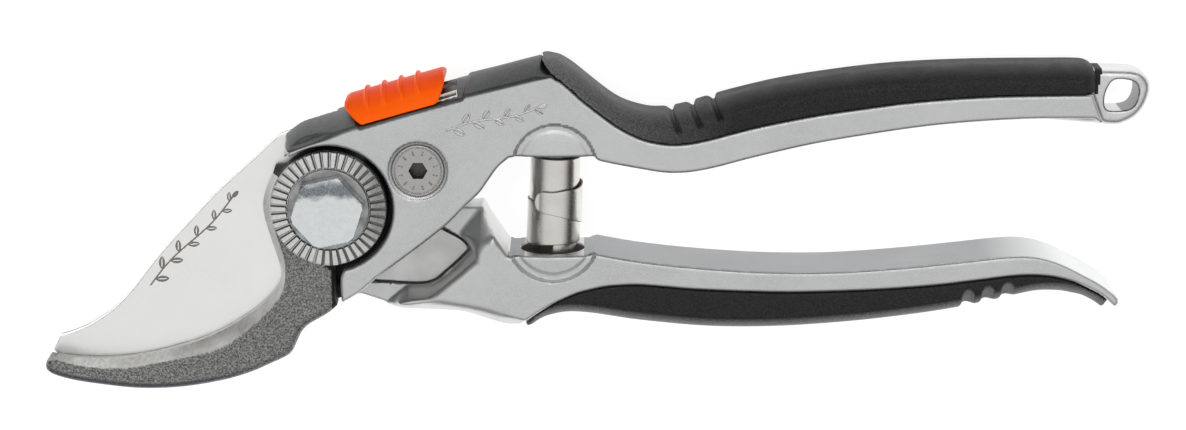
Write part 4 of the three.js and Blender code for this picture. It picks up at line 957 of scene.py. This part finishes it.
# painted sheen mask: the left end of the upper grip
highlight_mask = rub.math("MULTIPLY", rub.band(gp.outputs["X"], 0.080, 0.046), rub.band(gp.outputs["Y"], 0.004, 0.014))
plain_rubber = rub.mixcol(rub.band(g1, 0.35, 0.7), (0.003, 0.003, 0.0033), (0.026, 0.026, 0.027))
sheen_rubber = rub.mixcol(rub.band(g1, 0.35, 0.7), (0.045, 0.045, 0.046), (0.17, 0.17, 0.172))
gn = rub.n.new("ShaderNodeSeparateXYZ")
rub.l.new([q for q in rub.n if q.type == "TEX_COORD"][0].outputs["Normal"], gn.inputs[0])
# painted reflection mask: the lower grip's faces turned down towards -Y
floor_reflection_mask = rub.math("MULTIPLY", rub.band(gn.outputs["Y"], -0.35, -0.95), rub.band(gp.outputs["Y"], 0.0, -0.006))
reflected_rubber = rub.mixcol(rub.band(g1, 0.35, 0.7), (0.10, 0.10, 0.10), (0.30, 0.30, 0.30))
rub.set_color(rub.mixcol(floor_reflection_mask, rub.mixcol(highlight_mask, plain_rubber, sheen_rubber), reflected_rubber))
rub.set_rough(rub.math("ADD", rub.band(g2, 0.3, 0.7, 0.0, 0.10), rub.band(g1, 0.3, 0.7, 0.44, 0.58)))
rub.bump(g1, 0.085)

# lighter rubber for the faces in the lower grip's notches
rbl = Mat("grip_rubber_notch", (0.12, 0.12, 0.12), 0.0, 0.55, Specular_IOR_Level=0.30)
g5, g6 = rbl.noise(0.32, 3, 0.65), rbl.noise(3.0, 3, 0.5)
rbl.set_color(rbl.mixcol(rbl.band(g5, 0.35, 0.7), (0.07, 0.07, 0.071), (0.19, 0.19, 0.192)))
rbl.set_rough(rbl.math("ADD", rbl.band(g6, 0.3, 0.7, 0.0, 0.10), rbl.band(g5, 0.3, 0.7, 0.44, 0.58)))
rbl.bump(g5, 0.05)

# hammered paint of the counter blade
ham = Mat("hammered_paint", (0.24, 0.245, 0.25), 0.75, 0.38)
h1, h2, h3 = ham.noise(0.42, 2, 0.7), ham.noise(0.20, 2, 0.6), ham.noise(6.0, 2, 0.5)
spk = ham.math("ADD", ham.math("MULTIPLY", h1, 0.6), ham.math("MULTIPLY", h2, 0.4))
hn, hx = ham.n.new("ShaderNodeSeparateXYZ"), ham.n.new("ShaderNodeSeparateXYZ")
ham.l.new([q for q in ham.n if q.type == "TEX_COORD"][0].outputs["Normal"], hn.inputs[0])
ham.l.new(ham.co, hx.inputs[0])
edge_ = ham.math("MULTIPLY", ham.band(hn.outputs["Y"], -0.08, -0.42), ham.band(hx.outputs["X"], -0.012, -0.030))
ham.set_color(ham.mixcol(edge_, ham.mixcol(ham.band(spk, 0.42, 0.60), (0.085, 0.085, 0.084), (0.37, 0.37, 0.36)), ham.mixcol(ham.band(spk, 0.42, 0.60), (0.075, 0.087, 0.10), (0.15, 0.17, 0.19))))
ham.set_rough(ham.band(h3, 0.3, 0.7, 0.34, 0.46))
ham.bump(h1, 0.10)

# ground land of the counter blade
grd = Mat("ground_land", (0.55, 0.54, 0.52), 1.0, 0.34)
s1 = grd.noise(0.9, 3, 0.6, stretch=(0.12, 1.6, 1.0), rot=math.radians(-62))
s2 = grd.noise(2.5, 3, 0.5)
gx = grd.n.new("ShaderNodeSeparateXYZ")
grd.l.new(grd.co, gx.inputs[0])
grd.set_color(grd.mixcol(grd.band(gx.outputs["X"], -0.056, -0.020), grd.mixcol(grd.band(s1, 0.3, 0.7), (0.24, 0.24, 0.235), (0.44, 0.44, 0.43)), grd.mixcol(grd.band(s1, 0.3, 0.7), (0.66, 0.655, 0.635), (0.84, 0.835, 0.81))))
grd.set_rough(grd.band(s2, 0.3, 0.7, 0.26, 0.42))
grd.bump(s1, 0.012)

# painted shade: a near-black steel colour on the faces in the gaps round the joint and the tang, behind the casting,
# along the blade's spine and where the upper grip ends; a dark brown in the screw's socket
gap_shade = Mat("painted_gap_shade", (0.02, 0.02, 0.021), 0.4, 0.6)
k1 = gap_shade.noise(0.4, 3, 0.6)
gap_shade.set_color(gap_shade.mixcol(gap_shade.band(k1, 0.3, 0.7), (0.008, 0.008, 0.009), (0.022, 0.022, 0.023)))
gap_shade.set_rough(gap_shade.band(k1, 0.3, 0.7, 0.5, 0.75))
gap_shade.bump(k1, 0.01)
socket_shade = Mat("socket_painted_shade", (0.12, 0.105, 0.095), 1.0, 0.4)
k2 = socket_shade.noise(0.3, 3, 0.6)
socket_shade.set_color(socket_shade.mixcol(socket_shade.band(k2, 0.3, 0.7), (0.06, 0.052, 0.047), (0.16, 0.14, 0.13)))
socket_shade.set_rough(socket_shade.band(k2, 0.3, 0.7, 0.3, 0.5))
socket_shade.bump(k2, 0.01)

# ground blade
bld = Mat("blade_steel", (0.80, 0.80, 0.77), 1.0, 0.27)
b1 = bld.noise(0.8, 3, 0.6, stretch=(0.05, 1.5, 1.0), rot=math.radians(38))
b2 = bld.noise(9.0, 3, 0.55)
bld.set_color(bld.mixcol(bld.band(b2, 0.3, 0.7), (0.94, 0.94, 0.915), (0.99, 0.99, 0.965)))
bld.set_rough(bld.math("ADD", bld.band(b1, 0.25, 0.75, 0.25, 0.31), bld.band(b2, 0.3, 0.7, 0.0, 0.05)))
bld.bump(b1, 0.0004)
tng = Mat("tang_steel", (0.4, 0.4, 0.39), 1.0, 0.36)
g3, g4 = tng.noise(0.5, 3, 0.6), tng.noise(8.0, 3, 0.5)
tng.set_color(tng.mixcol(tng.band(g4, 0.35, 0.65), (0.53, 0.53, 0.52), (0.68, 0.68, 0.665)))
tng.set_rough(tng.band(g3, 0.3, 0.7, 0.30, 0.42))
tng.bump(g3, 0.006)

# printed mark
ink = Mat("printed_mark", (0.16, 0.14, 0.12), 0.0, 0.5)
i1 = ink.noise(0.25, 3, 0.6)
ink.set_color(ink.mixcol(ink.band(i1, 0.3, 0.7), (0.12, 0.105, 0.09), (0.21, 0.19, 0.165)))
ink.set_rough(ink.band(i1, 0.3, 0.7, 0.42, 0.6))

# bright zinc
znc = Mat("zinc_steel", (0.70, 0.73, 0.75), 1.0, 0.26)
z1, z2, z3 = znc.noise(0.5, 4, 0.6), znc.noise(3.2, 4, 0.6, distortion=0.6), znc.noise(0.12, 2, 0.5)
znc.set_color(znc.mixcol(znc.band(z2, 0.35, 0.68), (0.66, 0.69, 0.715), (0.80, 0.82, 0.83)))
znc.set_rough(znc.math("ADD", znc.band(z1, 0.3, 0.7, 0.17, 0.30), znc.band(z2, 0.3, 0.7, 0.0, 0.10)))
znc.bump(z1, 0.004)
znc.bump(z2, 0.012)

# the bolt's head, with a painted dark reflection on the +Y side of its top, and the duller washer under it
hed = Mat("zinc_head", (0.75, 0.78, 0.79), 1.0, 0.28)
hp = hed.n.new("ShaderNodeSeparateXYZ")
hed.l.new(hed.co, hp.inputs[0])
d1, d2, d3 = hed.noise(0.35, 4, 0.7), hed.noise(2.6, 4, 0.6, distortion=0.5), hed.noise(1.1, 3, 0.6)
yy = hed.math("ADD", hp.outputs["Y"], hed.math("MULTIPLY", hed.math("SUBTRACT", d2, 0.5), 0.0042))
painted_reflection = hed.math("MULTIPLY", hed.band(yy, 0.0026, 0.0040), hed.band(d1, 0.25, 0.6, 0.55, 1.0))
painted_reflection = hed.math("MULTIPLY", painted_reflection, hed.band(yy, 0.0066, 0.0054, 0.35, 1.0))
hed.set_color(hed.mixcol(painted_reflection, hed.mixcol(hed.band(d3, 0.35, 0.68), (0.76, 0.795, 0.80), (0.83, 0.86, 0.865)), (0.16, 0.18, 0.205)))
hed.set_rough(hed.band(d1, 0.3, 0.7, 0.22, 0.32))
hed.bump(d1, 0.0012)
wsh = Mat("zinc_washer", (0.3, 0.3, 0.3), 1.0, 0.4)
w1, w2 = wsh.noise(0.5, 4, 0.6), wsh.noise(3.0, 3, 0.5)
wsh.set_color(wsh.mixcol(wsh.band(w2, 0.35, 0.65), (0.24, 0.245, 0.245), (0.52, 0.525, 0.52)))
wsh.set_rough(wsh.band(w1, 0.3, 0.7, 0.28, 0.46))
wsh.bump(w1, 0.01)

# stamped ring with the teeth, with painted shade: a darker colour on its right side
tth = Mat("toothed_zinc", (0.72, 0.72, 0.71), 1.0, 0.3)
t1, t2 = tth.noise(0.4, 4, 0.6), tth.noise(4.0, 3, 0.5)
tx = tth.n.new("ShaderNodeSeparateXYZ")
tth.l.new(tth.co, tx.inputs[0])
right_shade = tth.math("MULTIPLY", tth.band(tx.outputs["X"], 0.0035, 0.0095), tth.band(tx.outputs["Y"], -0.0095, -0.004))
tth.set_color(tth.mixcol(right_shade, tth.mixcol(tth.band(t1, 0.3, 0.7), (0.62, 0.62, 0.61), (0.84, 0.84, 0.825)), tth.mixcol(tth.band(t1, 0.3, 0.7), (0.22, 0.22, 0.215), (0.40, 0.40, 0.39))))
tth.set_rough(tth.band(t2, 0.3, 0.7, 0.22, 0.36))
tth.bump(t1, 0.006)

# nickel plate of the screw and the spring
nik = Mat("nickel_steel", (0.66, 0.64, 0.61), 1.0, 0.24)
n1, n2 = nik.noise(0.35, 4, 0.6), nik.noise(5.0, 3, 0.5)
nik.set_color(nik.mixcol(nik.band(n2, 0.3, 0.7), (0.70, 0.68, 0.64), (0.80, 0.785, 0.745)))
nik.set_rough(nik.math("ADD", nik.band(n1, 0.3, 0.7, 0.16, 0.26), nik.band(n2, 0.3, 0.7, 0.0, 0.05)))
nik.bump(n1, 0.006)

# painted shade: a darker brown on the strip's edges
rim = Mat("strip_edge_painted_shade", (0.22, 0.18, 0.15), 1.0, 0.4)
e1 = rim.noise(0.4, 3, 0.6)
rim.set_color(rim.mixcol(rim.band(e1, 0.3, 0.7), (0.16, 0.125, 0.10), (0.34, 0.29, 0.25)))
rim.set_rough(rim.band(e1, 0.3, 0.7, 0.3, 0.5))
rim.bump(e1, 0.005)

# a lighter copy of the nickel: painted highlight at the tongue end of the spring's band
tongue_highlight = Mat("strip_lip_painted_highlight", (0.85, 0.78, 0.68), 1.0, 0.45)
l1 = tongue_highlight.noise(0.4, 3, 0.6)
tongue_highlight.set_color(tongue_highlight.mixcol(tongue_highlight.band(l1, 0.3, 0.7), (0.80, 0.74, 0.64), (0.95, 0.90, 0.82)))
tongue_highlight.set_rough(tongue_highlight.band(l1, 0.3, 0.7, 0.42, 0.6))
tongue_highlight.bump(l1, 0.005)

scr = Mat("screw_nickel", (0.58, 0.575, 0.56), 1.0, 0.34)
c1 = scr.noise(0.3, 4, 0.6)
scr.set_color(scr.mixcol(scr.band(c1, 0.3, 0.7), (0.42, 0.415, 0.40), (0.55, 0.545, 0.525)))
scr.set_rough(scr.band(c1, 0.3, 0.7, 0.28, 0.42))
scr.bump(c1, 0.008)

# plain spring steel and turned bronze of the inner pieces
spr = Mat("spring_steel", (0.42, 0.43, 0.44), 1.0, 0.35)
p1 = spr.noise(0.5, 4, 0.6)
spr.set_color(spr.mixcol(spr.band(p1, 0.3, 0.7), (0.34, 0.35, 0.36), (0.50, 0.51, 0.52)))
spr.set_rough(spr.band(p1, 0.3, 0.7, 0.28, 0.45))
spr.bump(p1, 0.01)
brz = Mat("bronze", (0.60, 0.42, 0.22), 1.0, 0.35)
q1 = brz.noise(0.5, 4, 0.6, stretch=(1, 1, 6))
brz.set_color(brz.mixcol(brz.band(q1, 0.3, 0.7), (0.48, 0.32, 0.16), (0.68, 0.50, 0.28)))
brz.set_rough(brz.band(q1, 0.3, 0.7, 0.28, 0.45))
brz.bump(q1, 0.01)

# glossy orange plastic of the lock, with painted shade: faces turned towards +Y get a darker orange
org = Mat("orange_plastic", (1.0, 0.105, 0.006), 0.0, 0.34, Specular_IOR_Level=0.03, Coat_Weight=0.0)
o1, o2 = org.noise(0.5, 3, 0.5), org.noise(5.0, 2, 0.5)
on = org.n.new("ShaderNodeSeparateXYZ")
org.l.new([q for q in org.n if q.type == "TEX_COORD"][0].outputs["Normal"], on.inputs[0])
org.set_color(org.mixcol(org.band(on.outputs["Y"], 0.66, 0.97), org.mixcol(org.band(o2, 0.3, 0.7), (0.97, 0.105, 0.004), (1.0, 0.128, 0.006)), org.mixcol(org.band(o2, 0.3, 0.7), (0.82, 0.055, 0.0015), (0.88, 0.072, 0.002))))
org.set_rough(org.band(o1, 0.3, 0.7, 0.26, 0.36))
org.bump(o1, 0.0012)


def paint(name, *mats):
    ob = PIECES.get(name) or NODES[name]
    ob.data.materials.clear()
    for m in mats:
        ob.data.materials.append(m.m)


def faces(name, idx):
    PIECES[name].data.polygons.foreach_set("material_index", idx.astype(np.int32))


paint("upper_casting", casu, shade_cast, lit_cast, gap_shade)
c, nn = GEO["upper_casting"]
s_, h_ = ridge_xy(c[:, 0], c[:, 1])
hole = (F_loop_in(c[:, 0], c[:, 1]) < 0.5) & (np.abs(nn[:, 2]) < 0.6) & (c[:, 0] > 150) & ((nn[:, 0] < -0.1) | (nn[:, 1] < -0.3))
# painted shade inside the lower spring cup: a darker brownish copy of the casting
cup_shade = Mat("cup_inner_painted_shade", (0.42, 0.39, 0.37), 1.0, 0.42)
u1_ = cup_shade.noise(0.35, 3, 0.6)
cup_shade.set_color(cup_shade.mixcol(cup_shade.band(u1_, 0.3, 0.7), (0.30, 0.275, 0.26), (0.50, 0.47, 0.45)))
cup_shade.set_rough(cup_shade.band(u1_, 0.3, 0.7, 0.36, 0.5))
cup_shade.bump(u1_, 0.015)
paint("lower_casting", cast, mach, lit_cast, gap_shade, shade_cast, cup_shade)
# faces of the lower casting: the machined inner face; painted shade on the flat left of the cup, round the pivot eye,
# below the pivot by the tang, and inside the cup; painted highlight on the neck's right wall
c, nn = GEO["lower_casting"]
k_ = np.where((nn[:, 1] > 0.7) & (c[:, 0] > 50.5) & (np.abs(c[:, 2] - MID) < 8.4), 1, 0)
k_ = np.where((nn[:, 1] > 0.7) & (c[:, 0] > 34) & (c[:, 0] < 38.7) & (c[:, 1] > -12) & (c[:, 1] < -7) & (np.abs(c[:, 2] - MID) < 8.6), 4, k_)
k_ = np.where((nn[:, 0] > 0.45) & (np.abs(nn[:, 2]) < 0.35) & (c[:, 0] > 28) & (c[:, 0] < 42) & (c[:, 1] > -9.5), 2, k_)
rr_ = np.hypot(c[:, 0], c[:, 1])
k_ = np.where((c[:, 2] < 12.5) & (c[:, 2] > 6) & (((rr_ > 10.8) & (rr_ < 13.9) & (c[:, 0] > -3)) | ((c[:, 0] > -1.8) & (c[:, 0] < 2.6 + 1.6 * (c[:, 1] > -17)) & (c[:, 1] < -11) & (c[:, 1] > -21.6))), 3, k_)
cup = (axis_r(c[:, 0], c[:, 1], c[:, 2]) < R_CUP + 0.14) & (axis_t(c[:, 0], c[:, 1]) > -1.0) & (axis_t(c[:, 0], c[:, 1]) < 6.4)
faces("lower_casting", np.where(cup, 5, k_))
c, nn = GEO["upper_casting"]
# faces of the upper casting: painted highlight on the loop's end and the underside before it, painted shade on the
# walls of the loop's hole, near-black painted shade where the upper grip ends
faces("upper_casting", np.where((c[:, 0] > 151.2) & (c[:, 0] < 151.75 + 0.19 * (c[:, 1] - 22.4)) & (c[:, 1] > 22.4) & (F_loop_in(c[:, 0], c[:, 1]) > 0.9), 3, np.where(hole, 1, np.where((c[:, 0] > 151.2) | ((c[:, 0] > 138) & (c[:, 1] < 17.6) & (np.abs(c[:, 2] - MID) < 4.6)), 2, 0))))
# the raised sprig in the painted highlight colour
paint("leaf_relief", lit_cast)
paint("upper_grip_cover", rub)
paint("lower_grip_cover", rub, rbl)
c, nn = GEO["lower_grip_cover"]
faces("lower_grip_cover", ((notch_l(c[:, 0], c[:, 1], c[:, 2]) < 0.15) & (c[:, 0] > 124) & (c[:, 0] < 138)).astype(int))
paint("hook_blade", ham, grd, gap_shade)
hook.data.polygons.foreach_set("material_index", HOOK_FACES)
paint("curved_blade", bld, tng, gap_shade, ridge_shade_mat)
c, nn = GEO["curved_blade"]
rr_ = np.hypot(c[:, 0], c[:, 1])
k_ = np.where((c[:, 0] > 5.5) & (c[:, 1] < 2), 1, 0)
# painted shade: near black round the pivot, below it by the tang and on the spine's faces turned towards +Y
k_ = np.where(((rr_ > 10.8) & (rr_ < 13.7) & (c[:, 0] > -3)) | ((c[:, 0] > -1.5) & (c[:, 0] < 4.2) & (c[:, 1] < -11) & (c[:, 1] > -19.6)), 2, k_)
k_ = np.where((c[:, 2] < 7.4) & (nn[:, 1] > 0.3) & (np.abs(nn[:, 2]) < 0.7) & (c[:, 0] < -7) & (k_ == 0), 2, k_)
faces("curved_blade", k_)
paint("leaf_mark", ink)
paint("hex_bolt", hed)
paint("bolt_washer", wsh)
paint("thin_nut", znc)
tdk = Mat("tooth_shadow", (0.2, 0.2, 0.2), 1.0, 0.4)
t3 = tdk.noise(0.4, 4, 0.6)
tdk.set_color(tdk.mixcol(tdk.band(t3, 0.3, 0.7), (0.10, 0.10, 0.098), (0.28, 0.28, 0.275)))
tdk.set_rough(tdk.band(t3, 0.3, 0.7, 0.3, 0.45))
tdk.bump(t3, 0.004)
paint("toothed_ring", tth, tdk, lit_cast)
faces("toothed_ring", TEETH)
paint("socket_screw", scr, socket_shade)
screw.data.polygons.foreach_set("material_index", SCREW_FACES)
paint("strip_spring", nik, rim, tongue_highlight)
faces("strip_spring", RIM)
paint("slot_liner", nik)
paint("slider_button", org)
for nm, m in (("pivot_bushing", brz), ("disc_spring", spr), ("tang_dowel_a", spr), ("tang_dowel_b", spr), ("detent_leaf", spr), ("lock_bolt", spr)):
    ob = NODES[nm]
    paint(nm, m)
    bv = ob.modifiers.new("soft_edges", "BEVEL")
    bv.width, bv.segments, bv.limit_method, bv.angle_limit = 0.00012, 2, "ANGLE", math.radians(40)



# ------------------------------------------------------------------ floor, light, camera
def plane(name, size, z):
    me = bpy.data.meshes.new(name)
    s = size / 2
    me.from_pydata([(-s, -s, z), (s, -s, z), (s, s, z), (-s, s, z)], [], [(0, 1, 2, 3)])
    ob = bpy.data.objects.new(name, me)
    bpy.context.scene.collection.objects.link(ob)
    return ob


floor = plane("floor", 6.0, -0.00003)
fl = Mat("pale_floor", (0.26, 0.26, 0.26), 0.0, 0.9, Specular_IOR_Level=0.0, Emission_Color=(1.0, 1.0, 1.0, 1.0))
seen = fl.n.new("ShaderNodeLightPath").outputs["Is Camera Ray"]
fl.l.new(fl.band(seen, 0.0, 1.0, 0.92, 0.86), fl.b.inputs["Emission Strength"])
floor.data.materials.append(fl.m)

world = bpy.data.worlds.new("studio")
bpy.context.scene.world = world
world.use_nodes = True
wn, wl = world.node_tree.nodes, world.node_tree.links
bg = wn["Background"]
tc, sep, rampn = wn.new("ShaderNodeTexCoord"), wn.new("ShaderNodeSeparateXYZ"), wn.new("ShaderNodeValToRGB")
wl.new(tc.outputs["Generated"], sep.inputs[0])
wl.new(sep.outputs["Z"], rampn.inputs[0])
wl.new(rampn.outputs[0], bg.inputs["Color"])
e = rampn.color_ramp.elements
e[0].position, e[0].color = 0.0, (0.05, 0.045, 0.04, 1)
e[1].position, e[1].color = 1.0, (0.80, 0.80, 0.80, 1)
m = rampn.color_ramp.elements.new(0.36)
m.color = (0.06, 0.055, 0.05, 1)
m = rampn.color_ramp.elements.new(0.74)
m.color = (0.74, 0.74, 0.74, 1)
bg.inputs["Strength"].default_value = 1.0


def area(name, loc, aim, size, power, color=(1, 1, 1)):
    l = bpy.data.lights.new(name, "AREA")
    l.shape, l.size, l.size_y, l.energy, l.color = "RECTANGLE", size[0], size[1], power, color
    ob = bpy.data.objects.new(name, l)
    bpy.context.scene.collection.objects.link(ob)
    ob.location = loc
    ob.rotation_euler = (Vector(aim) - Vector(loc)).to_track_quat("-Z", "Y").to_euler()
    return ob


for soft in (area("key", (-0.26, 0.06, 0.72), (0.05, 0, 0), (0.45, 0.45), 1.6), area("fill", (0.50, -0.30, 0.60), (0.05, 0, 0), (0.5, 0.4), 1.1)):
    soft.visible_glossy = False
area("box", (0.05, 0.50, 0.58), (0.05, 0, 0), (0.9, 0.22), 1.0)

cam = bpy.data.cameras.new("camera")
cam.sensor_width, cam.lens = 36.0, 98.65
cam.clip_start, cam.clip_end = 0.01, 20
cam_ob = bpy.data.objects.new("camera", cam)
bpy.context.scene.collection.objects.link(cam_ob)
cam_ob.location = (0.05231121, 0.14331775, 0.64334054)
cam_ob.rotation_euler = (math.radians(-13.0), 0, 0)
bpy.context.scene.camera = cam_ob
bpy.context.scene.view_settings.view_transform = "Standard"
